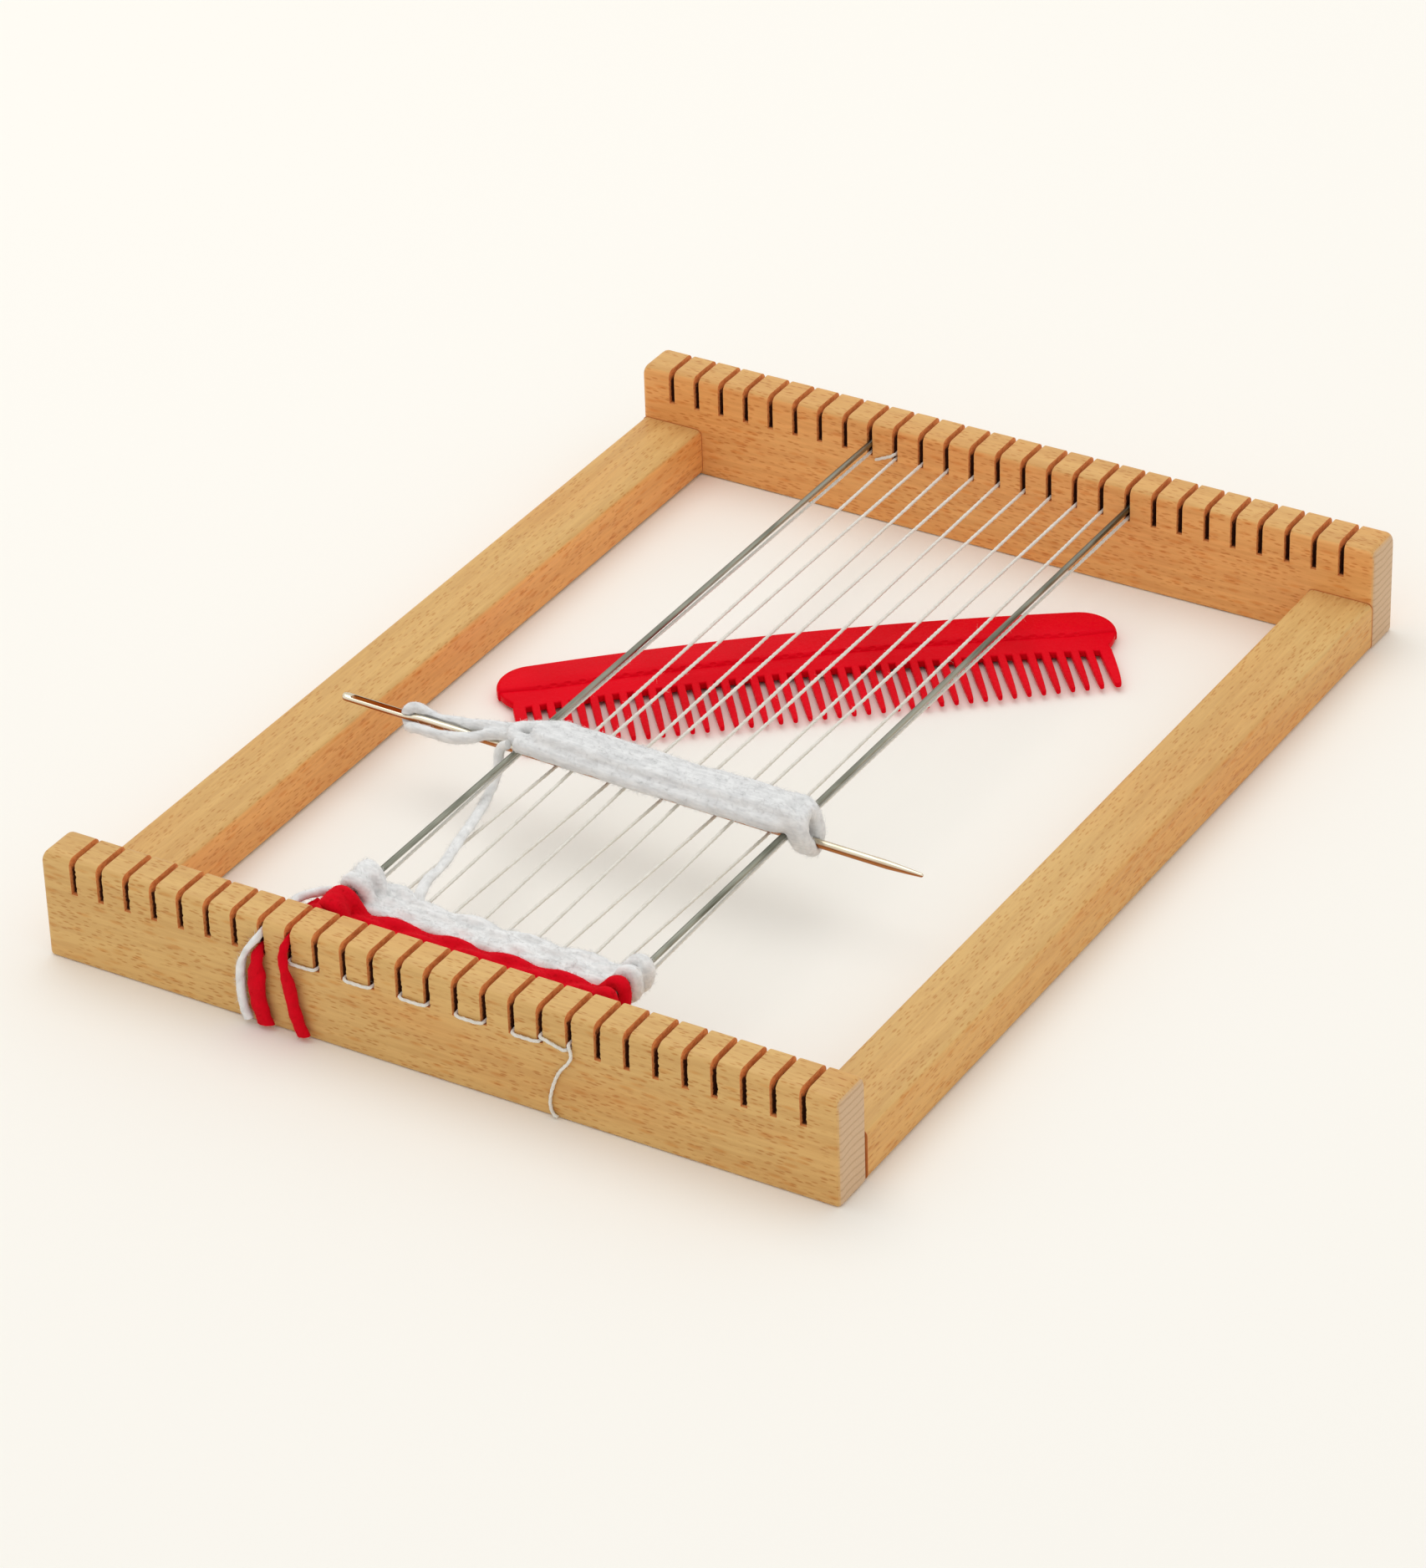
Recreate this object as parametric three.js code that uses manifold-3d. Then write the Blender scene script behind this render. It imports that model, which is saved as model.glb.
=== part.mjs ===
// A small beech weaving frame with a band of weaving started on it, its needle, rods and comb.
// Millimetres, +Z up. The origin is on the table under the middle of the frame, which lies along Y
// with its front rail at -Y. Slots are counted from the left, starting at 1.
import * as THREE from "three";
import { mergeVertices } from "three/addons/utils/BufferGeometryUtils.js";
import Module from "manifold-3d";

const wasm = await Module();
wasm.setup();

// Wooden frame
const slotCount = 27;
const slotPitch = 7;
const slotWidth = 1.5;
const slotDepth = 8.8;
const slotMargin = 8.5;
const railThickness = 11.2;
const railHeight = 26.6;
const railTopRounding = 1.8;
const railBottomRounding = 1;
const railEndRounding = 2;
const sideLength = 240.6;
const sideWidth = 16.7;
const sideHeight = 12.4;
const sideRounding = 1.6;
const glueLine = 0.1;

// Staples at the four corners
const stapleWidth = 5.6;
const stapleWire = 1.1;
const stapleLeg = 18;
const stapleSink = 0.7;
const stapleHeight = 7.5;
const stapleOffset = 2.25;
const stapleClearance = 0.15;

// Warp: one thread wound to and fro between the rails
const firstStrandSlot = 9;
const strandCount = 11;
const warpDiameter = 0.8;
const warpClearance = 0.12;

// Steel rods that keep the edges of the cloth straight
const rodClearance = 0.05;
const rodToStrand = 0.3;
const rodEndInset = 1.6;

// Needle
const needleLength = 153.2;
const needleDiameter = 2;
const needleSag = 0.5;
const needleEyeEnd = new THREE.Vector2(-85.8, -34.2);
const needleTurn = -1.5;
const needleHeadWidth = 2.8;
const needleHeadThickness = 1.6;
const needleHeadLength = 22;
const needleTipLength = 9;
const eyeStart = 2.4;
const eyeLength = 17;
const eyeWidth = 1.5;
const strandToNeedle = 0.2;

// Yarn
const redYarnDiameter = 2.15;
const redRows = 4;
const redRowPitch = 2.6;
const whiteYarnDiameter = 1.75;
const whiteRows = 4;
const whiteRowPitch = 2.2;
const yarnClearance = 0.2;
const rodToYarn = 0.28;
const bandToRail = 1.15;
const windingYarnDiameter = 2.2;
const windingPitch = 2.76;
const windingSag = 0.4;
const windingPastLeftRod = 0.2;
const windingShortOfRightRod = 2.2;
const windingOffset = -1.3;
const leadDiameter = 2.2;
const eyeYarnDiameter = 2.2;
const eyeYarnToEyeEnd = 1.75;

// Comb
const combCentre = new THREE.Vector2(-16.95, 56.17);
const combTurn = 38.9;
const combLength = 147;
const combGaps = 40;
const combGapShare = 0.51;
const combEndTooth = 2.55;
const combEndInset = 3;
const combArch = 660;
const combBack = 5.9;
const combRidge = 5.2;
const combRoots = 11.4;
const combTips = 31.6;
const combTipSlope = -0.02;
const combTipShare = 0.58;
const combPlate = 2;
const combSpine = 3.4;
const combEndRadius = 9;

// Places worked out from the sizes above
const frameWidth = (slotCount - 1) * slotPitch + 2 * slotMargin;
const innerY = sideLength / 2 + glueLine;
const outerY = innerY + railThickness;
const slotFloor = railHeight - slotDepth;
const strandHeight = slotFloor + warpClearance + warpDiameter / 2;
const needleHeight = strandHeight - needleSag;
const strandOverNeedle = needleHeight + needleDiameter / 2 + strandToNeedle + warpDiameter / 2;
const strandUnderNeedle = needleHeight - needleDiameter / 2 - strandToNeedle - warpDiameter / 2;
const rodDiameter = slotWidth - 2 * rodClearance;
const rodHeight = strandOverNeedle + warpDiameter / 2 + rodToStrand + rodDiameter / 2;
const stapleX = frameWidth / 2 - sideWidth / 2 - stapleOffset;
const lastStrandSlot = firstStrandSlot + strandCount - 1;
const combToothPitch = (combLength - 2 * (combEndInset + combEndTooth)) / (combGaps - 1 + combGapShare);
const slotX = (slot) => (slot - (slotCount + 1) / 2) * slotPitch;
const leftRodX = slotX(firstStrandSlot);
const rightRodX = slotX(lastStrandSlot);
const up = new THREE.Vector3(0, 0, 1);
const acrossFrame = new THREE.Vector3(1, 0, 0);
const alongFrame = new THREE.Vector3(0, 1, 0);
const point = (x, y, z) => new THREE.Vector3(x, y, z);

// Solids and meshes

function solid(geometry) {
  const bare = new THREE.BufferGeometry();
  const positions = geometry.index ? geometry.toNonIndexed() : geometry;
  bare.setAttribute("position", positions.getAttribute("position").clone());
  const merged = mergeVertices(bare, 1e-4);
  const vertProperties = merged.getAttribute("position").array;
  const triVerts = new Uint32Array(merged.index.array);
  return new wasm.Manifold(new wasm.Mesh({ numProp: 3, vertProperties, triVerts }));
}

function geometryOf(body) {
  const { vertProperties, triVerts } = body.getMesh();
  const geometry = new THREE.BufferGeometry();
  geometry.setAttribute("position", new THREE.BufferAttribute(vertProperties, 3));
  geometry.setIndex(new THREE.BufferAttribute(triVerts, 1));
  geometry.computeVertexNormals();
  return geometry;
}

function named(name, geometry, material) {
  const mesh = new THREE.Mesh(geometry, material.clone());
  mesh.name = name;
  return mesh;
}

// A rectangle centred on x with its four corners rounded, the lower two and the upper two alike.
function roundedRectangle(width, bottom, top, lowRadius, highRadius) {
  const half = width / 2;
  const shape = new THREE.Shape();
  shape.moveTo(-half + lowRadius, bottom);
  shape.lineTo(half - lowRadius, bottom);
  shape.absarc(half - lowRadius, bottom + lowRadius, lowRadius, -Math.PI / 2, 0);
  shape.absarc(half - highRadius, top - highRadius, highRadius, 0, Math.PI / 2);
  shape.absarc(-half + highRadius, top - highRadius, highRadius, Math.PI / 2, Math.PI);
  shape.absarc(-half + lowRadius, bottom + lowRadius, lowRadius, Math.PI, 1.5 * Math.PI);
  return shape;
}

// A prism whose outline lies across the given axis, from one place to another along it.
function prism(shape, axis, from, to, curveSegments = 4) {
  const geometry = new THREE.ExtrudeGeometry(shape, { depth: to - from, bevelEnabled: false, curveSegments });
  geometry.translate(0, 0, from);
  const basis = {
    x: [alongFrame, up, acrossFrame],
    y: [acrossFrame.clone().negate(), up, alongFrame],
    z: [acrossFrame, alongFrame, up],
  }[axis];
  return geometry.applyMatrix4(new THREE.Matrix4().makeBasis(...basis));
}

function block(width, depth, height, x, y, z) {
  return new THREE.BoxGeometry(width, depth, height).translate(x, y, z);
}

// A closed tube round a path. size(k) gives the half-width along the guide and the one square to it,
// and without a guide the section is carried along the path without twist.
function tube(path, size, sides, guide) {
  const last = path.length - 1;
  const positions = [];
  const triangles = [];
  let side = guide ? guide.clone() : new THREE.Vector3();
  path.forEach((centre, k) => {
    const tangent = path[Math.min(k + 1, last)].clone().sub(path[Math.max(k - 1, 0)]).normalize();
    if (!guide && k === 0) {
      side = Math.abs(tangent.z) < 0.9 ? up.clone() : acrossFrame.clone();
    }
    const from = guide ? guide : side;
    side = from.clone().addScaledVector(tangent, -from.dot(tangent)).normalize();
    const other = tangent.clone().cross(side);
    const [alongGuide, squareToGuide] = size(k);
    for (let s = 0; s < sides; s++) {
      const angle = (2 * Math.PI * (s + 0.5)) / sides;
      const vertex = centre.clone();
      vertex.addScaledVector(side, alongGuide * Math.cos(angle));
      vertex.addScaledVector(other, squareToGuide * Math.sin(angle));
      positions.push(...vertex);
    }
  });
  for (let k = 0; k < last; k++) {
    for (let s = 0; s < sides; s++) {
      const a = k * sides + s;
      const b = k * sides + ((s + 1) % sides);
      triangles.push(a, b, a + sides, a + sides, b, b + sides);
    }
  }
  for (let s = 1; s < sides - 1; s++) {
    triangles.push(0, s + 1, s, last * sides, last * sides + s, last * sides + s + 1);
  }
  const geometry = new THREE.BufferGeometry();
  geometry.setAttribute("position", new THREE.Float32BufferAttribute(positions, 3));
  geometry.setIndex(triangles);
  geometry.computeVertexNormals();
  return geometry;
}

const round = (diameter) => () => [diameter / 2, diameter / 2];

// A smooth path through chosen points, as evenly spaced steps.
function smooth(points, steps) {
  return new THREE.CatmullRomCurve3(points, false, "centripetal").getSpacedPoints(steps);
}

// The least gap between stretches of one tube that lie apart along it.
function leastGap(path, diameter) {
  const stepLength = 0.5;
  const samples = [];
  let length = 0;
  for (let k = 1; k < path.length; k++) {
    const span = path[k].distanceTo(path[k - 1]);
    const steps = Math.ceil(span / stepLength);
    for (let s = 0; s < steps; s++) {
      samples.push([path[k - 1].clone().lerp(path[k], s / steps), length + (span * s) / steps]);
    }
    length += span;
  }
  let least = Infinity;
  for (let i = 0; i < samples.length; i++) {
    for (let j = i + 1; j < samples.length; j++) {
      if (samples[j][1] - samples[i][1] > 2.2 * diameter) {
        least = Math.min(least, samples[i][0].distanceTo(samples[j][0]));
      }
    }
  }
  return least - diameter;
}

// Materials

function finish(color, roughness, metalness) {
  return new THREE.MeshStandardMaterial({ color, roughness, metalness });
}

const beech = finish(0xd9a860, 0.6, 0);
const steel = finish(0x8b8d84, 0.3, 1);
const cotton = finish(0xeae6da, 0.9, 0);
const redYarn = finish(0xd3061c, 0.95, 0);
const whiteYarn = finish(0xe9e9ea, 0.95, 0);
const redPlastic = finish(0xdd0d20, 0.35, 0);

// Staples, and the pockets that the rails need for them

// The staple's outline seen from above, grown by a clearance, pointing along +Y from the rail's face.
function stapleOutline(grown) {
  const half = stapleWidth / 2 + grown;
  const inner = stapleWidth / 2 - stapleWire - grown;
  const shape = new THREE.Shape();
  shape.moveTo(-half, -grown);
  shape.lineTo(half, -grown);
  shape.lineTo(half, stapleLeg - stapleWire + grown);
  shape.lineTo(inner, stapleLeg + grown);
  shape.lineTo(inner, stapleWire + grown);
  shape.lineTo(-inner, stapleWire + grown);
  shape.lineTo(-inner, stapleLeg + grown);
  shape.lineTo(-half, stapleLeg - stapleWire + grown);
  return shape;
}

function stapleAt(sideways, endways, grown) {
  const geometry = prism(stapleOutline(grown), "z", -stapleWire / 2 - grown, stapleWire / 2 + grown);
  if (endways > 0) geometry.rotateZ(Math.PI);
  return geometry.translate(sideways * stapleX, endways * (outerY - stapleSink), stapleHeight);
}

// The pocket for a staple also takes in the way that its crown was driven in.
function staplePocket(sideways, endways) {
  const mouth = block(
    stapleWidth + 2 * stapleClearance,
    2 * stapleSink,
    stapleWire + 2 * stapleClearance,
    sideways * stapleX,
    endways * outerY,
    stapleHeight,
  );
  return solid(stapleAt(sideways, endways, stapleClearance)).add(solid(mouth));
}

// Rails

function endRail(endways) {
  const centreY = endways * (innerY + railThickness / 2);
  const section = roundedRectangle(railThickness, 0, railHeight, railBottomRounding, railTopRounding);
  const face = roundedRectangle(frameWidth, 0, railHeight, railBottomRounding, railEndRounding);
  const half = railThickness / 2;
  const plan = roundedRectangle(frameWidth, -half, half, railEndRounding / 2, railEndRounding / 2);
  let body = solid(prism(section, "x", -frameWidth / 2, frameWidth / 2, 3))
    .intersect(solid(prism(face, "y", -railThickness / 2, railThickness / 2, 3)))
    .intersect(solid(prism(plan, "z", 0, railHeight, 2)))
    .translate([0, centreY, 0]);
  for (let slot = 1; slot <= slotCount; slot++) {
    const middle = slotFloor + slotDepth;
    const cut = block(slotWidth, 2 * railThickness, 2 * slotDepth, slotX(slot), centreY, middle);
    body = body.subtract(solid(cut));
  }
  for (const sideways of [-1, 1]) body = body.subtract(staplePocket(sideways, endways));
  return geometryOf(body);
}

function sideRail(sideways) {
  const section = roundedRectangle(sideWidth, 0, sideHeight, sideRounding, sideRounding);
  let body = solid(prism(section, "y", -sideLength / 2, sideLength / 2));
  body = body.translate([sideways * (frameWidth - sideWidth) * 0.5, 0, 0]);
  for (const endways of [-1, 1]) body = body.subtract(staplePocket(sideways, endways));
  return geometryOf(body);
}

// Rods

function rod(x) {
  const length = 2 * (outerY - rodEndInset);
  return new THREE.CylinderGeometry(rodDiameter / 2, rodDiameter / 2, length, 16).translate(x, 0, rodHeight);
}

// Needle, along its own axis from the eye end, then turned and put in its place

const needleDirection = alongFrame.clone().applyAxisAngle(up, THREE.MathUtils.degToRad(needleTurn - 90));
const needleSideways = up.clone().cross(needleDirection);

// A place beside the needle: along it from the eye end, towards the rear, and above its axis.
function besideNeedle(along, rearwards, above) {
  return point(needleEyeEnd.x, needleEyeEnd.y, needleHeight + above)
    .addScaledVector(needleDirection, along)
    .addScaledVector(needleSideways, rearwards);
}

function needle() {
  const radius = needleDiameter / 2;
  const headRadius = needleHeadWidth / 2;
  const outline = [new THREE.Vector2(0, 0)];
  const headSteps = 5;
  for (let k = 1; k <= headSteps; k++) {
    const angle = (Math.PI / 2) * (k / headSteps);
    const reach = headRadius * (1 - Math.cos(angle));
    outline.push(new THREE.Vector2(headRadius * Math.sin(angle), reach));
  }
  outline.push(new THREE.Vector2(headRadius, eyeStart + eyeLength - headRadius));
  outline.push(new THREE.Vector2(radius, needleHeadLength));
  outline.push(new THREE.Vector2(radius, needleLength - needleTipLength));
  outline.push(new THREE.Vector2(radius * 0.45, needleLength - radius / 2));
  outline.push(new THREE.Vector2(0, needleLength));
  let body = solid(new THREE.LatheGeometry(outline, 16));
  for (const side of [-1, 1]) {
    const z = side * (needleHeadThickness / 2 + needleHeadWidth / 2);
    const flat = block(2 * needleHeadWidth, 2 * needleHeadLength, needleHeadWidth, 0, 0, z);
    flat.translate(0, eyeStart + eyeLength - needleHeadLength, 0);
    body = body.subtract(solid(flat));
  }
  const eye = roundedRectangle(eyeWidth, eyeStart, eyeStart + eyeLength, eyeWidth / 2, eyeWidth / 2);
  body = body.subtract(solid(prism(eye, "z", -needleHeadWidth, needleHeadWidth)));
  const geometry = geometryOf(body);
  geometry.rotateZ(THREE.MathUtils.degToRad(needleTurn - 90));
  return geometry.translate(needleEyeEnd.x, needleEyeEnd.y, needleHeight);
}

// The needle's distance along the frame where it crosses a strand
function needleY(x) {
  return needleEyeEnd.y + ((x - needleEyeEnd.x) * needleDirection.y) / needleDirection.x;
}

// Warp: strands 1, 3, 5 and so on pass over the needle, the others under it.

const warpRadius = warpDiameter / 2;
const secondPass = strandHeight + warpDiameter + 0.45;
const crossingY = outerY + warpClearance + warpRadius;

function strand(slot) {
  const x = slotX(slot);
  const passing = (slot - firstStrandSlot) % 2 === 0 ? strandOverNeedle : strandUnderNeedle;
  const crossing = needleY(x);
  const near = 1.5;
  return [
    point(x, -outerY + near, strandHeight),
    point(x, -innerY + redRows * redRowPitch + (whiteRows + 2) * whiteRowPitch, strandHeight),
    point(x, crossing - near, passing),
    point(x, crossing + near, passing),
    point(x, innerY - near, strandHeight),
    point(x, outerY - near, strandHeight),
  ];
}

// A bend out of a slot's mouth on to a rail's outer face, turning sideways at the given height
function bend(slot, sideways, endways, height) {
  const x = slotX(slot);
  return [
    point(x + sideways * 0.02, endways * (outerY - 0.45), height),
    point(x + sideways * 0.16, endways * (outerY + 0.12), height),
    point(x + sideways * 0.62, endways * (crossingY - 0.05), height),
    point(x + sideways * 1.3, endways * crossingY, height - 0.1),
  ];
}

function crossOver(from, to, endways, fromHeight, toHeight) {
  const sideways = Math.sign(to - from);
  return [...bend(from, sideways, endways, fromHeight), ...bend(to, -sideways, endways, toHeight).reverse()];
}

// The tie at each end of the thread: round one tooth of the rail and back inside it.
function tieStart() {
  const slot = firstStrandSlot;
  const inside = innerY - warpClearance - warpRadius;
  return [
    point(slotX(slot) + 1.9, inside, strandHeight - 1.1),
    point(slotX(slot + 1) - 1.7, inside, strandHeight + 0.5),
    point(slotX(slot + 1) - 0.55, inside - 0.05, secondPass - 0.15),
    point(slotX(slot + 1) - 0.1, innerY + 0.45, secondPass),
    point(slotX(slot + 1), innerY + 1.6, secondPass),
    point(slotX(slot + 1), outerY - 1.5, secondPass),
    ...crossOver(slot + 1, slot, 1, secondPass, strandHeight),
  ];
}

function tieEnd() {
  const slot = lastStrandSlot;
  const inside = -innerY + warpClearance + warpRadius;
  return [
    ...crossOver(slot, slot - 1, -1, strandHeight, secondPass),
    point(slotX(slot - 1), -outerY + 1.5, secondPass),
    point(slotX(slot - 1), -innerY - 1.6, secondPass),
    point(slotX(slot - 1) + 0.1, -innerY - 0.45, secondPass),
    point(slotX(slot - 1) + 0.55, inside + 0.05, secondPass),
    point(slotX(slot - 1) + 1.4, inside, secondPass),
    point(slotX(slot) - 1.4, inside, secondPass),
    point(slotX(slot) - 0.55, inside + 0.05, secondPass),
    point(slotX(slot) - 0.03, -innerY - 0.3, secondPass),
    point(slotX(slot), -innerY - 1.2, secondPass),
  ];
}

// The thread's loose end, from inside the last slot down the front rail's face
function warpEndTail() {
  const x = slotX(lastStrandSlot);
  const face = -crossingY;
  const route = [
    point(x, -innerY - 1.5, secondPass),
    point(x, -innerY - 5, secondPass),
    point(x, -outerY + 1.4, secondPass),
    point(x, -outerY + 0.4, secondPass + 0.1),
    point(x + 0.3, -outerY - 0.45, secondPass),
    point(x + 0.85, face - 0.35, secondPass - 0.75),
    point(x + 1.1, face - 0.4, secondPass - 1.9),
    point(x + 0.5, face - 0.3, secondPass - 3.6),
    point(x - 2.3, face, 12.2),
    point(x - 4, face, 8.1),
    point(x - 4.9, face, 3.8),
    point(x - 4.3, face, 1.1),
    point(x - 3.2, face, 0.6),
  ];
  return tube(smooth(route, 24), round(warpDiameter), 8);
}

function warpPath() {
  const path = tieStart();
  for (let slot = firstStrandSlot; slot <= lastStrandSlot; slot++) {
    const rearToFront = (slot - firstStrandSlot) % 2 === 0;
    const points = strand(slot);
    path.push(...(rearToFront ? points.reverse() : points));
    if (slot < lastStrandSlot) {
      path.push(...crossOver(slot, slot + 1, rearToFront ? -1 : 1, strandHeight, strandHeight));
    }
  }
  path.push(...tieEnd());
  return path;
}

// Weft: rows of yarn that pass over and under the strands, and round a rod at each edge

// The height of a yarn's middle where it passes over a rod
const overRod = (diameter) => rodHeight + rodDiameter / 2 + rodToYarn + diameter / 2;

// One row at y, from the rod on the left to the one on the right. phase 1 starts over the left rod.
function weftRow(y, phase, diameter, strands = strandCount) {
  const steps = 4;
  const lift = warpRadius + yarnClearance + diameter / 2;
  const points = [];
  for (let k = 0; k <= (strands - 1) * steps; k++) {
    const toEdge = Math.min(k, (strandCount - 1) * steps - k) / steps;
    const rightHalf = k > ((strandCount - 1) * steps) / 2;
    const startsOver = phase * (rightHalf ? (-1) ** (strandCount - 1) : 1) > 0;
    let z = strandHeight + phase * lift * Math.cos((Math.PI * k) / steps);
    if (toEdge < 1 && startsOver) {
      const middle = (overRod(diameter) + strandHeight - lift) / 2;
      const wave = Math.cos(Math.PI * toEdge);
      z = middle + (overRod(diameter) - middle) * Math.sign(wave) * Math.sqrt(Math.abs(wave));
    }
    points.push(point(leftRodX + (k / steps) * slotPitch, y, z));
  }
  return points;
}

// The half turn round a rod from one row to the next, leaving the edge by the given side
function edgeTurn(sideways, fromY, toY, diameter, startsOver) {
  const top = overRod(diameter);
  const bottom = strandHeight - warpRadius - yarnClearance - diameter / 2;
  const middle = (top + bottom) / 2;
  const radius = (top - bottom) / 2;
  const reach = rodDiameter / 2 + rodToYarn + diameter / 2 + 0.15;
  const x = sideways < 0 ? leftRodX : rightRodX;
  const steps = 6;
  const points = [];
  for (let k = 1; k < steps; k++) {
    const angle = (Math.PI * k) / steps;
    const z = middle + (startsOver ? 1 : -1) * radius * Math.cos(angle);
    const y = fromY + ((toY - fromY) * k) / steps;
    points.push(point(x + sideways * reach * Math.sin(angle), y, z));
  }
  return points;
}

// Rows from firstY on. The first row goes under the left rod, and the last one ends over it.
function weftPath(firstY, rows, pitch, diameter) {
  const path = edgeTurn(-1, firstY, firstY, diameter, true).slice(2);
  for (let row = 0; row < rows; row++) {
    const y = firstY + row * pitch;
    const toRight = row % 2 === 0;
    const points = weftRow(y, toRight ? -1 : 1, diameter);
    path.push(...(toRight ? points : points.reverse()));
    if (row < rows - 1) path.push(...edgeTurn(toRight ? 1 : -1, y, y + pitch, diameter, !toRight));
  }
  return path;
}

const redFirstY = -innerY + bandToRail + redYarnDiameter / 2;
const redLastY = redFirstY + (redRows - 1) * redRowPitch;
const whiteFirstY = redLastY + redYarnDiameter / 2 + whiteYarnDiameter / 2 + 0.45;
const whiteLastY = whiteFirstY + (whiteRows - 1) * whiteRowPitch;

function redPath() {
  const path = weftPath(redFirstY, redRows, redRowPitch, redYarnDiameter);
  const end = edgeTurn(-1, redLastY, redLastY, redYarnDiameter, true);
  return [...path, end[0], end[1]];
}

// The white band ends in a short row over the second strand, where the lead to the winding starts.
function whitePath() {
  const path = weftPath(whiteFirstY, whiteRows, whiteRowPitch, whiteYarnDiameter);
  const shortY = whiteLastY + whiteRowPitch;
  path.push(...edgeTurn(-1, whiteLastY, shortY, whiteYarnDiameter, true));
  const shortRow = weftRow(shortY, -1, whiteYarnDiameter, 2);
  return [...path, ...shortRow, point(slotX(firstStrandSlot + 1) + 1.6, shortY, strandHeight + 1.5)];
}

// Yarn ends that pass through a slot and hang down the front rail's face, squeezed flat in the slot

const slotSqueeze = slotWidth / 2 - 0.15;
const mouthY = -innerY + 0.9;

function redStartTail() {
  const x = slotX(firstStrandSlot);
  const route = [
    point(x - 3.6, mouthY + 2.2, 22.3),
    point(x - 1.5, mouthY + 1.5, 23.5),
    point(x - 0.1, mouthY + 0.1, 23.8),
    point(x, mouthY - 1.6, 23.8),
    point(x, -outerY + 4, 23.7),
    point(x, -outerY + 0.6, 23.5),
    point(x, -outerY - 1.2, 22.6),
    point(x + 0.05, -outerY - 2.1, 20.6),
    point(x + 0.3, -outerY - 2.3, 17.6),
    point(x + 0.8, -outerY - 1.8, 13.6),
    point(x + 1.7, -outerY - 1.6, 7.1),
    point(x + 2.8, -outerY - 1.6, 3.4),
    point(x + 3.6, -outerY - 1.5, 1.3),
  ];
  return tailTube(route, 1.6);
}

function redEndTail() {
  const x = slotX(firstStrandSlot - 1);
  const route = [
    point(x + 1.9, redLastY - 1.6, 20.6),
    point(x + 0.7, redLastY - 4.6, 20.1),
    point(x, mouthY + 0.3, 19.8),
    point(x, mouthY - 2.4, 19.8),
    point(x, -outerY + 4, 19.8),
    point(x, -outerY + 0.9, 19.7),
    point(x, -outerY - 0.6, 19.4),
    point(x - 0.1, -outerY - 1.6, 18.2),
    point(x - 0.2, -outerY - 1.8, 16.4),
    point(x - 0.5, -outerY - 1.6, 13.6),
    point(x - 0.8, -outerY - 1.6, 9.8),
    point(x - 0.2, -outerY - 1.6, 5),
    point(x + 0.9, -outerY - 1.5, 1.3),
  ];
  return tailTube(route, 2);
}

function whiteStartTail() {
  const x = slotX(firstStrandSlot - 1);
  const route = [
    point(x + 2.1, whiteFirstY, 21.3),
    point(x + 0.2, redLastY - 1.6, 22.2),
    point(x - 1.1, redLastY - 5.6, 22.7),
    point(x - 0.4, mouthY + 1.2, 23.2),
    point(x, mouthY - 0.4, 23.4),
    point(x, mouthY - 2.4, 23.4),
    point(x, -outerY + 4, 23.4),
    point(x, -outerY + 0.6, 23.2),
    point(x, -outerY - 0.6, 22.8),
    point(x - 0.5, -outerY - 1.4, 22.1),
    point(x - 1.6, -outerY - 1.7, 20.7),
    point(x - 3, -outerY - 1.6, 18.6),
    point(x - 4.6, -outerY - 1.5, 14.5),
    point(x - 5.1, -outerY - 1.4, 8.8),
    point(x - 4.6, -outerY - 1.4, 3.8),
    point(x - 3.7, -outerY - 1.3, 1.2),
  ];
  return tailTube(route, 1.15);
}

// A tail keeps to the slot's width between the rail's faces and spreads on the outer face.
function tailTube(route, spread) {
  const path = smooth(route, 26);
  const size = (k) => {
    const { y, z } = path[k];
    if (y > -innerY + 3.4) return [1, 1];
    if (y > -outerY - 1.1) return [slotSqueeze, 1.2];
    return [z > 17 ? 0.6 * spread : spread, 1];
  };
  return tube(path, size, 8, acrossFrame);
}

// Winding: yarn laid to and fro above the needle in two layers, with its last turn under the needle

const windingLow = rodHeight + rodDiameter / 2 + yarnClearance + windingYarnDiameter / 2;
const windingLeft = leftRodX - windingPastLeftRod;
const windingRight = rightRodX - windingShortOfRightRod;

function aboveNeedle(x, sideways, z) {
  return point(x, needleY(x) + windingOffset + sideways, z);
}

// One run between the ends, sagging between the rods
function windingRun(sideways, layerZ, toRight, left = windingLeft, right = windingRight) {
  const steps = 8;
  const points = [];
  for (let k = 0; k <= steps; k++) {
    const share = toRight ? k / steps : 1 - k / steps;
    const x = left + share * (right - left);
    const sag = windingSag * Math.sin(Math.PI * share) ** 2;
    points.push(aboveNeedle(x, sideways, layerZ - sag));
  }
  return points;
}

// The half turn that joins two runs at x
function windingTurn(x, fromSideways, toSideways, fromZ, toZ, reach) {
  const steps = Math.abs(reach) < windingPitch ? 6 : 8;
  const points = [];
  for (let k = 1; k < steps; k++) {
    const angle = (Math.PI * k) / steps;
    const share = (1 - Math.cos(angle)) / 2;
    const sideways = fromSideways + (toSideways - fromSideways) * share;
    points.push(aboveNeedle(x + reach * Math.sin(angle), sideways, fromZ + (toZ - fromZ) * share));
  }
  return points;
}

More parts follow.
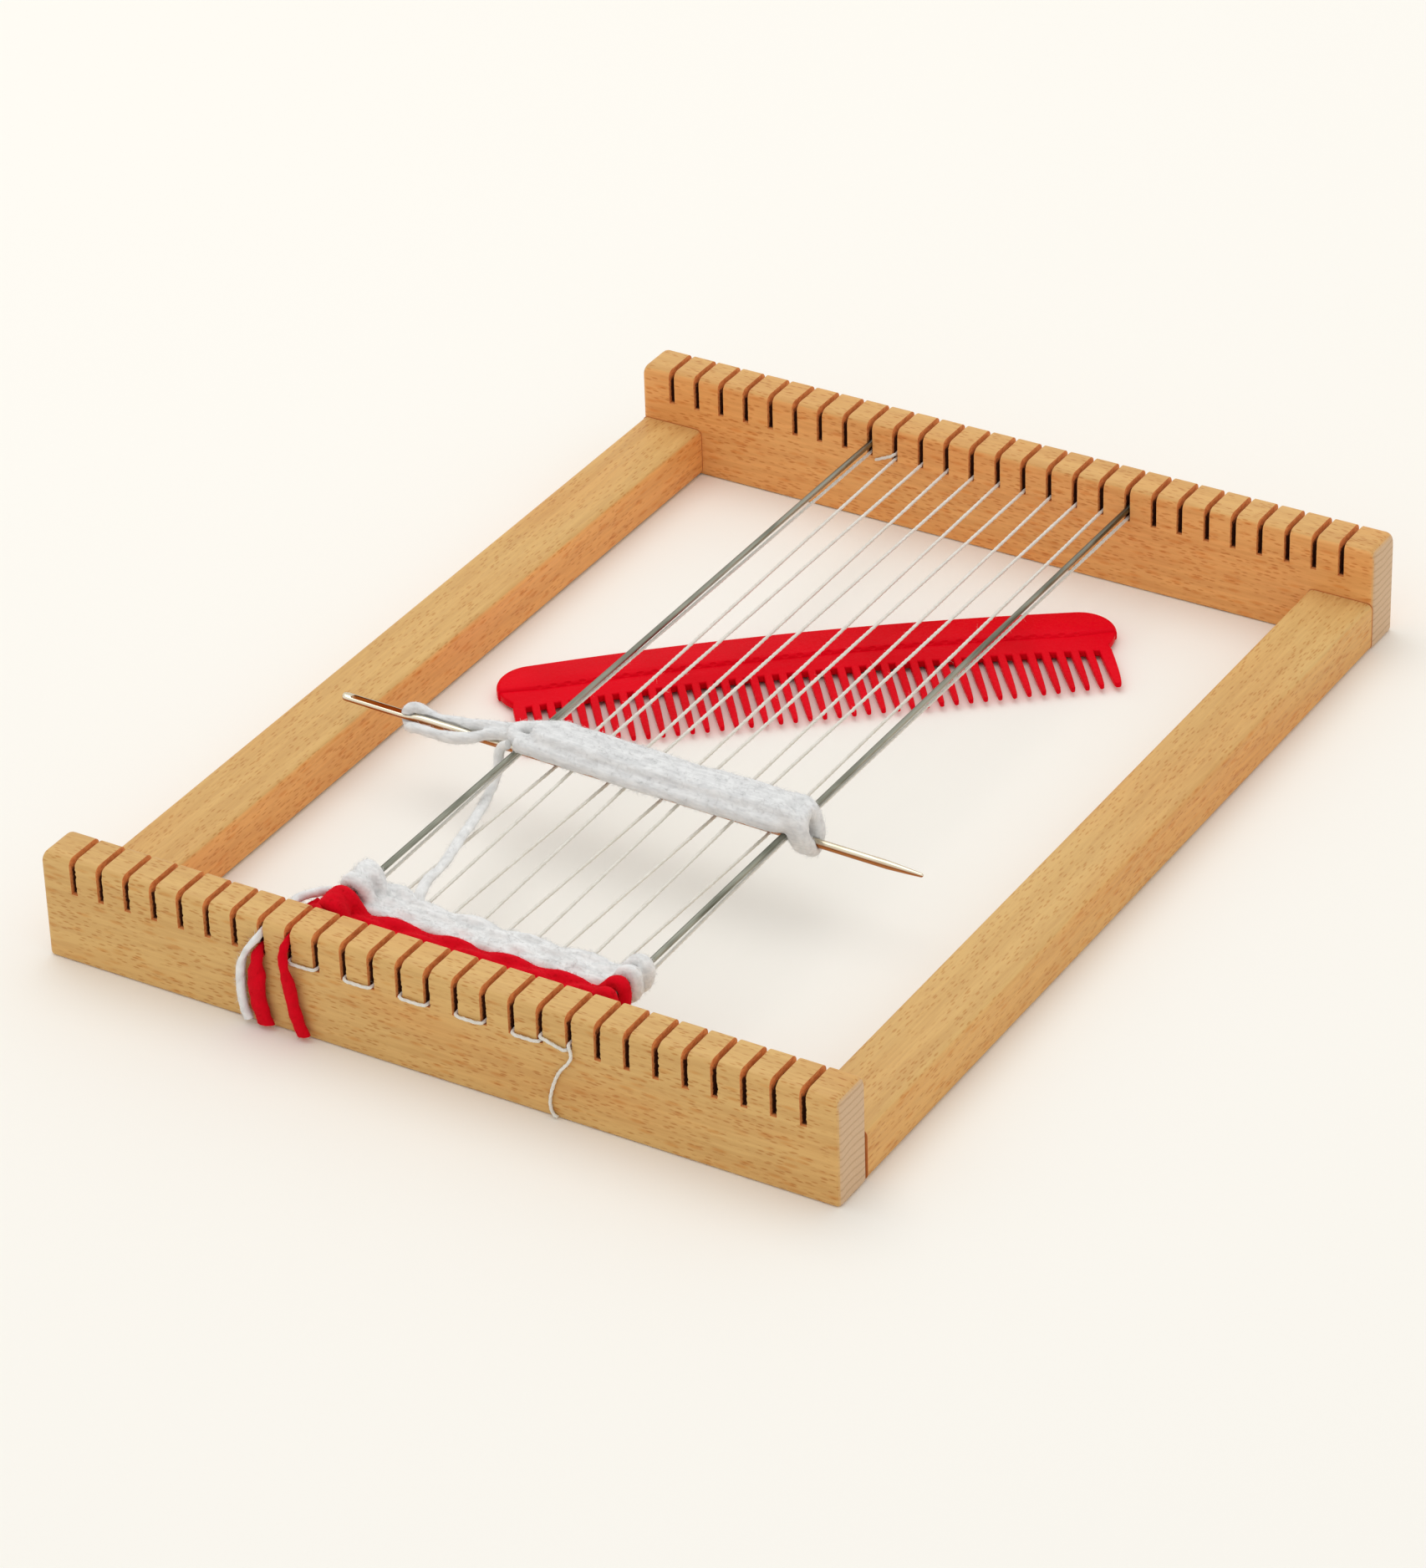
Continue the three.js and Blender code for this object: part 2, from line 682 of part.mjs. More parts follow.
// The last turn leaves the top layer, goes down past the right rod and under the needle, and comes up behind.
function turnUnderNeedle(fromSideways, toSideways, fromZ, toZ) {
  const under = needleHeight - needleDiameter / 2 - yarnClearance - windingYarnDiameter / 2;
  const x = windingRight;
  const middle = -windingOffset;
  return [
    aboveNeedle(x + 2.8, fromSideways - 0.1, fromZ + 0.1),
    aboveNeedle(x + 4.5, fromSideways - 0.1, fromZ - 1.2),
    aboveNeedle(x + 5.1, fromSideways + 0.2, fromZ - 4.2),
    aboveNeedle(x + 5.1, fromSideways + 0.8, fromZ - 7.3),
    aboveNeedle(x + 5.1, middle - 1.5, under + 0.5),
    aboveNeedle(x + 5.1, middle, under - 0.2),
    aboveNeedle(x + 5.1, middle + 1.6, under + 0.5),
    aboveNeedle(x + 5.1, middle + 2.8, under + 2.8),
    aboveNeedle(x + 4.8, middle + 3.4, under + 5.6),
    aboveNeedle(x + 3.7, toSideways + 0.3, toZ - 0.7),
    aboveNeedle(x + 1.9, toSideways + 0.1, toZ),
  ];
}

function windingPath() {
  const pitch = windingPitch;
  const lowZ = windingLow;
  const highZ = windingLow + pitch;
  const low = [-1.75 * pitch, 1.25 * pitch, -0.75 * pitch, 0.25 * pitch];
  const high = [0.25 * pitch, 1.25 * pitch, -0.75 * pitch];
  const behind = 2.1 * pitch;
  const climbX = windingLeft + 8.5;
  const topX = climbX - 0.6 * pitch;
  const wideX = windingRight - 2;
  return [
    ...windingRun(low[0], lowZ, true, windingLeft, wideX),
    ...windingTurn(wideX, low[0], low[1], lowZ, lowZ, 1.5 * pitch),
    ...windingRun(low[1], lowZ, false, windingLeft, wideX),
    ...windingTurn(windingLeft, low[1], low[2], lowZ, lowZ, -pitch),
    ...windingRun(low[2], lowZ, true, windingLeft, wideX),
    ...windingTurn(wideX, low[2], low[3], lowZ, lowZ, 0.5 * pitch),
    ...windingRun(low[3], lowZ, false, climbX, wideX),
    ...windingTurn(climbX, low[3], high[0], lowZ, highZ, -0.5 * pitch),
    ...windingRun(high[0], highZ, true, climbX, wideX),
    ...windingTurn(wideX, high[0], high[1], highZ, highZ, 0.5 * pitch),
    ...windingRun(high[1], highZ, false, topX, wideX),
    ...windingTurn(topX, high[1], high[2], highZ, highZ, -pitch),
    ...windingRun(high[2], highZ, true, topX),
    ...turnUnderNeedle(high[2], behind, highZ, lowZ + 0.5 * pitch),
    ...windingRun(behind, lowZ + 0.5 * pitch, false),
  ];
}

// The lead: from the band, over the second strand, under the first strand and the rod, to the winding
function leadPath() {
  const x = leftRodX;
  const bandY = whiteLastY + whiteRowPitch;
  const windingY = needleY(x) + windingOffset - 1.75 * windingPitch;
  const overStrand = strandHeight + warpRadius + yarnClearance + leadDiameter / 2;
  const underStrand = strandHeight - warpRadius - yarnClearance - leadDiameter / 2;
  const route = [
    point(x + 10.9, bandY + 0.4, overStrand + 0.3),
    point(x + 9.3, windingY - 48.8, overStrand + 0.1),
    point(x + 8.2, windingY - 39.8, overStrand),
    point(x + 7.5, windingY - 31.8, overStrand),
    point(x + 5.4, windingY - 24.8, overStrand - 0.7),
    point(x + 2.8, windingY - 17.8, underStrand + 1.2),
    point(x + 0.2, windingY - 11.4, underStrand - 0.1),
    point(x - 1.7, windingY - 5.6, underStrand),
    point(x - 3.1, windingY - 1.8, underStrand + 1.6),
    point(x - 3.6, windingY - 0.4, underStrand + 4),
    point(x - 3.1, windingY + 0.2, windingLow - 0.9),
    point(x - 1.7, windingY + 0.4, windingLow - 0.1),
  ];
  return smooth(route, 24);
}

// The yarn from the winding's top layer, through the eye from above, and back to the winding's lower turn
function eyeYarn() {
  const top = windingLow + 0.5 * windingPitch - needleHeight;
  const low = windingLow - needleHeight;
  const squeeze = eyeWidth / 2 - 0.15;
  const start = windingLeft - needleEyeEnd.x;
  const through = eyeStart + eyeLength - eyeYarnToEyeEnd;
  const route = [
    besideNeedle(start - 1.2, 2.1 * windingPitch + windingOffset, top),
    besideNeedle(start - 4, 4.4, top - 0.9),
    besideNeedle(start - 8, 4.2, top - 2.4),
    besideNeedle(through + 18.5, 3.9, 2.4),
    besideNeedle(through + 12.5, 3.3, 1.5),
    besideNeedle(through + 7, 2.7, 1.2),
    besideNeedle(through + 3, 1.8, 2.1),
    besideNeedle(through + 1, 0.5, 2.3),
    besideNeedle(through, 0, 0.9),
    besideNeedle(through, 0, -0.9),
    besideNeedle(through + 1, -0.5, -2.3),
    besideNeedle(through + 3, -1.8, -2.1),
    besideNeedle(through + 7, -2.8, -1.2),
    besideNeedle(through + 12.5, -3, 0.6),
    besideNeedle(through + 17, -2.2, 2),
    besideNeedle(through + 21.5, -0.8, 2.8),
    besideNeedle(start - 7.4, 0, 3.9),
    besideNeedle(start - 4.6, 0, low),
  ];
  const path = smooth(route, 44);
  const size = (k) => {
    const fromAxis = Math.abs(path[k].z - needleHeight);
    const atEye = path[k].distanceTo(besideNeedle(through, 0, 0)) < 3 && fromAxis < 1.9;
    return atEye ? [squeeze, 1.1] : [eyeYarnDiameter / 2, eyeYarnDiameter / 2];
  };
  return tube(path, size, 8, needleSideways);
}

// Comb: an arched spine with a thinner plate of teeth, flat on the table

// How far the comb's arched lines lie from straight ones at a place along it
const archAt = (along) => combArch - Math.sqrt(combArch ** 2 - along ** 2);

function combTooth(shape, middle, width) {
  const half = width / 2;
  const root = combRoots + archAt(middle);
  const tip = combTips + combTipSlope * middle;
  const tipHalf = combTipShare * half;
  shape.lineTo(middle - half, root);
  shape.lineTo(middle - tipHalf, tip - tipHalf);
  shape.lineTo(middle - tipHalf / 2, tip);
  shape.lineTo(middle + tipHalf / 2, tip);
  shape.lineTo(middle + tipHalf, tip - tipHalf);
  shape.lineTo(middle + half, root);
}

// The back's points from one end to the other, bowed outwards
function combBackLine(offset, from, to, steps) {
  const points = [];
  for (let k = 0; k <= steps; k++) {
    const along = from + ((to - from) * k) / steps;
    points.push(new THREE.Vector2(along, offset + archAt(along)));
  }
  return points;
}

function combOutline() {
  const half = combLength / 2;
  const toothWidth = combToothPitch * (1 - combGapShare);
  const endMiddle = half - combEndInset - combEndTooth / 2;
  const shape = new THREE.Shape();
  const endCentre = half - combEndRadius;
  const backEnd = archAt(endCentre) - combBack;
  shape.moveTo(endCentre, backEnd);
  for (const spot of combBackLine(-combBack, endCentre, -endCentre, 16)) shape.lineTo(spot.x, spot.y);
  shape.absarc(-endCentre, backEnd + combEndRadius, combEndRadius, 1.5 * Math.PI, 0.8 * Math.PI, true);
  combTooth(shape, -endMiddle, combEndTooth);
  for (let tooth = 1; tooth < combGaps; tooth++) {
    const middle = (tooth - combGaps / 2) * combToothPitch;
    combTooth(shape, middle, toothWidth);
  }
  combTooth(shape, endMiddle, combEndTooth);
  shape.absarc(endCentre, backEnd + combEndRadius, combEndRadius, 0.2 * Math.PI, -0.5 * Math.PI, true);
  return shape;
}

function combSpineOutline() {
  const endCentre = combLength / 2 - combEndRadius;
  const backEnd = archAt(endCentre) - combBack;
  const shape = new THREE.Shape();
  shape.moveTo(endCentre, backEnd);
  for (const spot of combBackLine(-combBack, endCentre, -endCentre, 16)) shape.lineTo(spot.x, spot.y);
  shape.absarc(-endCentre, backEnd + combEndRadius, combEndRadius, 1.5 * Math.PI, 0.95 * Math.PI, true);
  for (const spot of combBackLine(combRidge, -endCentre + 2, endCentre - 2, 16)) shape.lineTo(spot.x, spot.y);
  shape.absarc(endCentre, backEnd + combEndRadius, combEndRadius, 0.05 * Math.PI, -0.5 * Math.PI, true);
  return shape;
}

function comb() {
  const plateBottom = (combSpine - combPlate) / 2;
  const plate = prism(combOutline(), "z", plateBottom, plateBottom + combPlate, 6);
  const spine = prism(combSpineOutline(), "z", 0, combSpine, 6);
  const geometry = geometryOf(solid(plate).add(solid(spine)));
  // The outlines are drawn with the teeth towards +Y, and the real teeth point the other way.
  geometry.rotateX(Math.PI).translate(0, 0, combSpine);
  geometry.rotateZ(THREE.MathUtils.degToRad(combTurn));
  return geometry.translate(combCentre.x, combCentre.y, 0);
}

// The object

const weavingFrame = new THREE.Group();
weavingFrame.add(
  named("front_rail", endRail(-1), beech),
  named("rear_rail", endRail(1), beech),
  named("left_side_rail", sideRail(-1), beech),
  named("right_side_rail", sideRail(1), beech),
);
for (const [end, endways] of [["front", -1], ["rear", 1]]) {
  for (const [side, sideways] of [["left", -1], ["right", 1]]) {
    weavingFrame.add(named(`${end}_${side}_staple`, stapleAt(sideways, endways, 0), steel));
  }
}
weavingFrame.add(
  named("left_selvedge_rod", rod(leftRodX), steel),
  named("right_selvedge_rod", rod(rightRodX), steel),
  named("needle", needle(), steel),
);

const wound = {
  warp_thread: [warpPath(), warpDiameter, cotton],
  red_weft: [redPath(), redYarnDiameter, redYarn],
  white_weft: [whitePath(), whiteYarnDiameter, whiteYarn],
  yarn_winding: [windingPath(), windingYarnDiameter, whiteYarn],
};
for (const [name, [path, diameter, material]] of Object.entries(wound)) {
  weavingFrame.add(named(name, tube(path, round(diameter), 6), material));
  console.log(`${name}: least gap to itself ${leastGap(path, diameter).toFixed(2)} mm`);
}
weavingFrame.add(
  named("warp_end_tail", warpEndTail(), cotton),
  named("yarn_lead", tube(leadPath(), round(leadDiameter), 8), whiteYarn),
  named("eye_yarn", eyeYarn(), whiteYarn),
  named("red_start_tail", redStartTail(), redYarn),
  named("red_end_tail", redEndTail(), redYarn),
  named("white_start_tail", whiteStartTail(), whiteYarn),
  named("comb", comb(), redPlastic),
);

export default weavingFrame;
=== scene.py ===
import math

import bmesh
import bpy
from mathutils import Matrix, Quaternion, Vector


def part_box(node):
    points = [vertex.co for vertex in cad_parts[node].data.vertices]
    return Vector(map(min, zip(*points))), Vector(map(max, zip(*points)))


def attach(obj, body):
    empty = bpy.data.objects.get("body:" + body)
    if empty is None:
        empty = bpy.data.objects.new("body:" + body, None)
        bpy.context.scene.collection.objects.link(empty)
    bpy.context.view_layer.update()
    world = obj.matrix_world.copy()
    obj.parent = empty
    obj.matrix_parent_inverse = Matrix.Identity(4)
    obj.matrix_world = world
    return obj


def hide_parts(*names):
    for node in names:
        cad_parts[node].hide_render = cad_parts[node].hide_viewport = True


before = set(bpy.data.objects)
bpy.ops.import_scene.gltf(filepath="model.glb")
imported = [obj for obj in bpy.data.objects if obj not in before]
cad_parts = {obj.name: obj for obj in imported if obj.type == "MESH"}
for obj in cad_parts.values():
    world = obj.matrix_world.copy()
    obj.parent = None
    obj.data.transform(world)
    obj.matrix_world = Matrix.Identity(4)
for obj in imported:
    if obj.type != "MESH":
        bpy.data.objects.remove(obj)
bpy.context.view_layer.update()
MM = 0.001

# The table that the frame lies on is smooth, warm white card. It is large enough to fill every view.
# A wide soft lamp hangs over it, and a pale room gives the rest of the light.


def put(tree, kind, inputs=(), **settings):
    """Adds a node, sets it up, and fills its inputs with values or with other nodes' outputs."""
    node = tree.nodes.new(kind)
    for name, value in settings.items():
        setattr(node, name, value)
    for key, value in dict(inputs).items():
        if isinstance(value, bpy.types.NodeSocket):
            tree.links.new(value, node.inputs[key])
        else:
            node.inputs[key].default_value = value
    return node


def new_material(name, **settings):
    """A material with its shader's own sockets set, and its node tree."""
    material = bpy.data.materials.new(name)
    material.use_nodes = True
    shader = material.node_tree.nodes["Principled BSDF"]
    for label, value in settings.items():
        shader.inputs[label.replace("_", " ")].default_value = value
    return material, material.node_tree, shader


def piece_of(name, mesh):
    piece = bpy.data.objects.new(name, mesh)
    bpy.context.scene.collection.objects.link(piece)
    return piece


def calc(tree, operation, a, b=0.0):
    return put(tree, "ShaderNodeMath", {0: a, 1: b}, operation=operation).outputs[0]


def plus(tree, a, b):
    return calc(tree, "ADD", a, b)


def minus(tree, a, b):
    return calc(tree, "SUBTRACT", a, b)


def times(tree, a, b):
    return calc(tree, "MULTIPLY", a, b)


def vector(tree, operation, a, b):
    return put(tree, "ShaderNodeVectorMath", {0: a, 1: b}, operation=operation).outputs[0]


def coloured(tree, shader, colour):
    tree.links.new(colour, shader.inputs["Base Color"])


def split(tree, a):
    return put(tree, "ShaderNodeSeparateXYZ", {0: a}).outputs


def object_place(tree):
    return put(tree, "ShaderNodeTexCoord").outputs["Object"]


def ramp(tree, value, low, high, to_low=0.0, to_high=1.0):
    sockets = {"Value": value, "From Min": low, "From Max": high, "To Min": to_low, "To Max": to_high}
    return put(tree, "ShaderNodeMapRange", sockets).outputs[0]


def mixed(tree, factor, first, second, mode="MIX"):
    sockets = {0: factor, 6: first, 7: second}
    return put(tree, "ShaderNodeMix", sockets, data_type="RGBA", blend_type=mode).outputs[2]


def cloudy(tree, place, stretch, detail=2.0):
    """Soft noise on a place that is stretched by so many features a metre along each axis."""
    spread = vector(tree, "MULTIPLY", place, stretch)
    return put(tree, "ShaderNodeTexNoise", {"Vector": spread, "Scale": 1.0, "Detail": detail}).outputs["Fac"]


table_reach = 6.0
card, tree, shader = new_material("white card", Roughness=0.85, Specular_IOR_Level=0.2)
place = object_place(tree)
mottle = cloudy(tree, place, (4, 4, 4))
coloured(tree, shader, mixed(tree, mottle, (0.955, 0.93, 0.868, 1), (0.965, 0.942, 0.884, 1)))
mesh = bpy.data.meshes.new("table top")
corners = [(table_reach * x, table_reach * y, -0.0001) for x, y in ((-1, -1), (1, -1), (1, 1), (-1, 1))]
mesh.from_pydata(corners, [], [(0, 1, 2, 3)])
mesh.materials.append(card)
table = piece_of("table_top", mesh)

lamp = bpy.data.lights.new("soft lamp", "AREA")
lamp.shape = "DISK"
lamp.size = 1.6
lamp.energy = 7.7
lamp_stand = piece_of("soft_lamp", lamp)
lamp_stand.location = (-0.5, 0.35, 1.7)
lamp_stand.rotation_euler = (-lamp_stand.location).to_track_quat("-Z", "Y").to_euler()

room = bpy.data.worlds.new("pale room")
bpy.context.scene.world = room
room.use_nodes = True
tree = room.node_tree
ray = put(tree, "ShaderNodeLightPath").outputs
seen = calc(tree, "MAXIMUM", ray["Is Camera Ray"], ray["Is Glossy Ray"])
seen = calc(tree, "MAXIMUM", seen, ray["Is Transmission Ray"])
dim = put(tree, "ShaderNodeBackground", {"Color": (1.0, 0.995, 0.985, 1), "Strength": 0.83})
pale = put(tree, "ShaderNodeBackground", {"Color": (0.965, 0.939, 0.880, 1), "Strength": 1.0})
both = put(tree, "ShaderNodeMixShader", {0: seen, 1: dim.outputs[0], 2: pale.outputs[0]})
tree.links.new(both.outputs[0], tree.nodes["World Output"].inputs["Surface"])

# The camera stands high over the front right corner of the frame and looks at its middle through a
# long lens. It is turned a little on its side.
camera = bpy.data.cameras.new("photo view")
camera.sensor_width = 36.0
camera.lens = 137.45
camera_place = Vector((0.5985, -0.9867, 0.7217))
camera_aim = Vector((-0.00685, -0.00305, 0.0))
camera_roll = math.radians(-1.894)
view = piece_of("photo_camera", camera)
view.rotation_mode = "QUATERNION"
view.location = camera_place
upright = (camera_aim - camera_place).to_track_quat("-Z", "Y")
view.rotation_quaternion = upright @ Quaternion((0, 0, 1), camera_roll)
bpy.context.scene.camera = view
bpy.context.scene.view_settings.view_transform = "Standard"

# The end rails are beech, planed with a round top edge. A thin saw cuts each of them twenty-seven times,
# straight down and right through, and tears a little wood from the far edge of each cut.


def attribute(tree, name):
    return put(tree, "ShaderNodeAttribute", attribute_name=name).outputs


def roughened(tree, shader, roughness):
    tree.links.new(roughness, shader.inputs["Roughness"])


def raise_surface(tree, shader, height, distance, strength):
    """Gives a material its fine relief."""
    bump = put(tree, "ShaderNodeBump", {"Strength": strength, "Distance": distance, "Height": height})
    tree.links.new(bump.outputs[0], shader.inputs["Normal"])


def beech(name, grain_turn, shift, tint, dash_share, side_painted_tint):
    """Oiled beech with its grain along X, or along Y where grain_turn is a quarter turn."""
    wood, tree, shader = new_material(name, Specular_IOR_Level=0.3)
    flat_place = object_place(tree)
    laid = {"Vector": flat_place, "Location": shift, "Rotation": (0, 0, grain_turn)}
    place = put(tree, "ShaderNodeMapping", laid).outputs[0]
    facing = attribute(tree, "facing")["Vector"]
    grain_way = (math.cos(grain_turn), -math.sin(grain_turn), 0)
    side_way = (grain_way[1], -grain_way[0], 0)
    towards = [
        put(tree, "ShaderNodeVectorMath", {0: facing, 1: way}, operation="DOT_PRODUCT").outputs["Value"]
        for way in (grain_way, side_way)
    ]
    on_end, on_side = (ramp(tree, calc(tree, "ABSOLUTE", way), 0.6, 0.9) for way in towards)
    streaks = cloudy(tree, place, (13, 250, 360), 3)
    fine = cloudy(tree, place, (110, 1500, 1500))
    patches = cloudy(tree, place, (11, 34, 50))
    tone = plus(tree, times(tree, streaks, 0.55), times(tree, fine, 0.45))
    light = tuple(a * b for a, b in zip((0.715, 0.455, 0.170), tint)) + (1,)
    dark = tuple(a * b for a, b in zip((0.620, 0.365, 0.125), tint)) + (1,)
    face = mixed(tree, ramp(tree, tone, 0.38, 0.60), dark, light)
    blushed = mixed(tree, 1.0, face, (1.0, 0.84, 0.72, 1), "MULTIPLY")
    face = mixed(tree, ramp(tree, patches, 0.48, 0.70, 0, 0.8), face, blushed)
    cells = vector(tree, "MULTIPLY", place, (360, 1500, 1500))
    spot = put(tree, "ShaderNodeTexVoronoi", {"Vector": cells, "Scale": 1.0}).outputs["Distance"]
    scattered = ramp(tree, cloudy(tree, place, (90, 260, 260)), 0.34, 0.50)
    dashes = times(tree, ramp(tree, spot, 0.20, 0.40, 1, 0), times(tree, scattered, dash_share))
    face = mixed(tree, dashes, face, mixed(tree, 1.0, face, (0.78, 0.60, 0.44, 1), "MULTIPLY"))
    across = vector(tree, "MULTIPLY", place, (150, 30, 620))
    ray_spot = put(tree, "ShaderNodeTexVoronoi", {"Vector": across, "Scale": 1.0}).outputs["Distance"]
    rays = times(tree, ramp(tree, ray_spot, 0.14, 0.38, 0.75, 0), on_side)
    face = mixed(tree, rays, face, mixed(tree, 1.0, face, (0.90, 0.70, 0.50, 1), "MULTIPLY"))
    # Painted light: the side faces are tinted warmer and more orange than the top, for the warm light and
    # shade on them.
    face = mixed(tree, on_side, face, mixed(tree, 1.0, face, side_painted_tint + (1,), "MULTIPLY"))
    height = split(tree, place)["Z"]
    wander = times(tree, cloudy(tree, place, (20, 90, 60)), 7.0)
    year = calc(tree, "SINE", plus(tree, times(tree, height, 3300.0), wander))
    pores = cloudy(tree, place, (900, 2600, 2600))
    end_tone = plus(tree, ramp(tree, year, 0.5, 1.0, 0, 0.55), times(tree, pores, 0.45))
    end_face = mixed(tree, end_tone, (0.68, 0.47, 0.29, 1), (0.47, 0.29, 0.155, 1))
    coloured(tree, shader, mixed(tree, on_end, face, end_face))
    roughened(tree, shader, ramp(tree, fine, 0.3, 0.7, 0.48, 0.64))
    relief = minus(tree, plus(tree, fine, times(tree, pores, 0.4)), dashes)
    raise_surface(tree, shader, relief, 0.05 * MM, 0.35)
    return wood


def mark_facing(piece):
    """Keeps each face's direction on the mesh, so that the wood knows its end grain from its sides."""
    facing = piece.data.attributes.new("facing", "FLOAT_VECTOR", "FACE")
    for polygon in piece.data.polygons:
        facing.data[polygon.index].vector = polygon.normal


def sawn_beech(inner_y, outer_y, top):
    """The rough wood inside a saw cut: orange at its mouth, made brighter there as painted light,
    and dark further in, partly saw burn and partly painted shade of the deep slot.
    """
    wood, tree, shader = new_material("sawn beech", Roughness=0.85, Specular_IOR_Level=0.15)
    place = object_place(tree)
    teeth_marks = cloudy(tree, place, (400, 900, 1300), 3)
    # Painted light: the sawn orange is brighter than the wood itself, standing for light that reaches into
    # the slot's mouth.
    sawn_and_lit_orange = mixed(tree, ramp(tree, teeth_marks, 0.35, 0.65), (0.70, 0.245, 0.075, 1), (0.92, 0.40, 0.13, 1))
    spot = split(tree, place)
    y = calc(tree, "ABSOLUTE", spot["Y"])
    inwards = calc(tree, "MINIMUM", minus(tree, outer_y, y), minus(tree, y, inner_y))
    downwards = times(tree, minus(tree, top, spot["Z"]), 0.42)
    deep = calc(tree, "MINIMUM", inwards, downwards)
    # Painted shade mixed with saw burn: the wood turns near black deeper into the slot.
    ragged = plus(tree, deep, times(tree, minus(tree, teeth_marks, 0.5), 1.3 * MM))
    burn_and_painted_shade = ramp(tree, ragged, 0.75 * MM, 1.25 * MM)
    coloured(tree, shader, mixed(tree, burn_and_painted_shade, sawn_and_lit_orange, (0.075, 0.022, 0.008, 1)))
    raise_surface(tree, shader, teeth_marks, 0.15 * MM, 0.7)
    return wood


def rounded_section(width, height, low, high):
    """The points of an upright rectangle with rounded corners, once round, as (across, up)."""
    steps = 7
    corners = [
        (width / 2 - low, low, low, -90),
        (width / 2 - high, height - high, high, 0),
        (-width / 2 + high, height - high, high, 90),
        (-width / 2 + low, low, low, 180),
    ]
    points = []
    for across, up, radius, start in corners:
        for k in range(steps):
            angle = math.radians(start + 90 * k / (steps - 1))
            points.append((across + radius * math.cos(angle), up + radius * math.sin(angle)))
    return points


def closed_tube(rings):
    """A closed mesh through rings of points, with a flat face at each end."""
    sides = len(rings[0])
    points = [spot for ring in rings for spot in ring]
    faces = [tuple(reversed(range(sides))), tuple(range(len(points) - sides, len(points)))]
    for row in range(len(rings) - 1):
        for k in range(sides):
            a, b = row * sides + k, row * sides + (k + 1) % sides
            faces.append((a, b, b + sides, a + sides))
    mesh = bpy.data.meshes.new("tube")
    mesh.from_pydata(points, [], faces)
    return mesh


def bar(length, width, height, low, high, end_low, end_high, end_side):
    """A wooden bar along X on the table, its long edges and its end faces rounded."""
    section = rounded_section(width, height, low, high)
    steps = 7
    reach = max(end_low, end_high, end_side)
    from_end = [reach * (1 - math.cos(math.radians(90 * k / (steps - 1)))) for k in range(steps)]

    def inset(radius, distance):
        return radius - math.sqrt(max(0.0, radius ** 2 - (radius - min(distance, radius)) ** 2))

    rings = []
    places = [(-length / 2 + d, d) for d in from_end] + [(length / 2 - d, d) for d in reversed(from_end)]
    for x, distance in places:
        narrower = 1 - 2 * inset(end_side, distance) / width
        bottom, top = inset(end_low, distance), height - inset(end_high, distance)
        ring = [(x, across * narrower, bottom + up * (top - bottom) / height) for across, up in section]
        rings.append(ring)
    return closed_tube(rings)


def baked(piece, sharp_from=None):
    """Turns a piece with modifiers into a plain mesh, with its sharp edges marked."""
    shown = bpy.context.evaluated_depsgraph_get()
    final = piece.evaluated_get(shown)
    mesh = bpy.data.meshes.new_from_object(final, preserve_all_data_layers=True, depsgraph=shown)
    piece.modifiers.clear()
    piece.data = mesh
    if sharp_from:
        mesh.shade_smooth()
        mesh.set_sharp_from_angle(angle=math.radians(sharp_from))
    return piece


def open_tree(name, **kinds):
    """A Geometry Nodes tree with named inputs, and the outputs of its input node."""
    tree = bpy.data.node_groups.new(name, "GeometryNodeTree")
    tree.interface.new_socket("Geometry", in_out="INPUT", socket_type="NodeSocketGeometry")
    tree.interface.new_socket("Geometry", in_out="OUTPUT", socket_type="NodeSocketGeometry")
    for label, kind in kinds.items():
        tree.interface.new_socket(label.replace("_", " "), in_out="INPUT", socket_type="NodeSocket" + kind)
    return tree, tree.nodes.new("NodeGroupInput").outputs


def close_tree(tree, geometry, material, others=()):
    """Ends a tree in Realize Instances and Set Material."""
    whole = put(tree, "GeometryNodeRealizeInstances", {0: geometry}).outputs[0]
    whole = put(tree, "GeometryNodeSetMaterial", {"Geometry": whole, "Material": material}).outputs[0]
    for extra, chosen in others:
        chosen_sockets = {"Geometry": whole, "Selection": chosen, "Material": extra}
        whole = put(tree, "GeometryNodeSetMaterial", chosen_sockets).outputs[0]
    put(tree, "NodeGroupOutput", {0: whole})


def grow(piece, tree, values):
    """Gives a piece a Geometry Nodes modifier and fills its named inputs."""
    modifier = piece.modifiers.new(tree.name, "NODES")
    modifier.node_group = tree
    for item in tree.interface.items_tree:
        if item.item_type == "SOCKET" and item.in_out == "INPUT" and item.name in values:
            modifier[item.identifier] = values[item.name]
    return piece


def position(tree):
    return put(tree, "GeometryNodeInputPosition").outputs[0]


def named(tree, name, kind):
    return put(tree, "GeometryNodeInputNamedAttribute", {"Name": name}, data_type=kind).outputs[0]


def joined(tree, x=0.0, y=0.0, z=0.0):
    return put(tree, "ShaderNodeCombineXYZ", {0: x, 1: y, 2: z}).outputs[0]


def row_of_points(tree, given, start):
    """A straight row of points along X: so many, so far apart."""
    sockets = {"Count": given["Count"], "Start Location": start, "Offset": joined(tree, given["Pitch"])}
    return put(tree, "GeometryNodeMeshLine", sockets, mode="OFFSET").outputs[0]


def row_start(tree, given):
    """Where a row starts that has its middle at zero."""
    return times(tree, times(tree, minus(tree, given["Count"], 1.0), given["Pitch"]), -0.5)


def moved_to(tree, geometry, **way):
    return put(tree, "GeometryNodeSetPosition", dict(way, Geometry=geometry)).outputs[0]


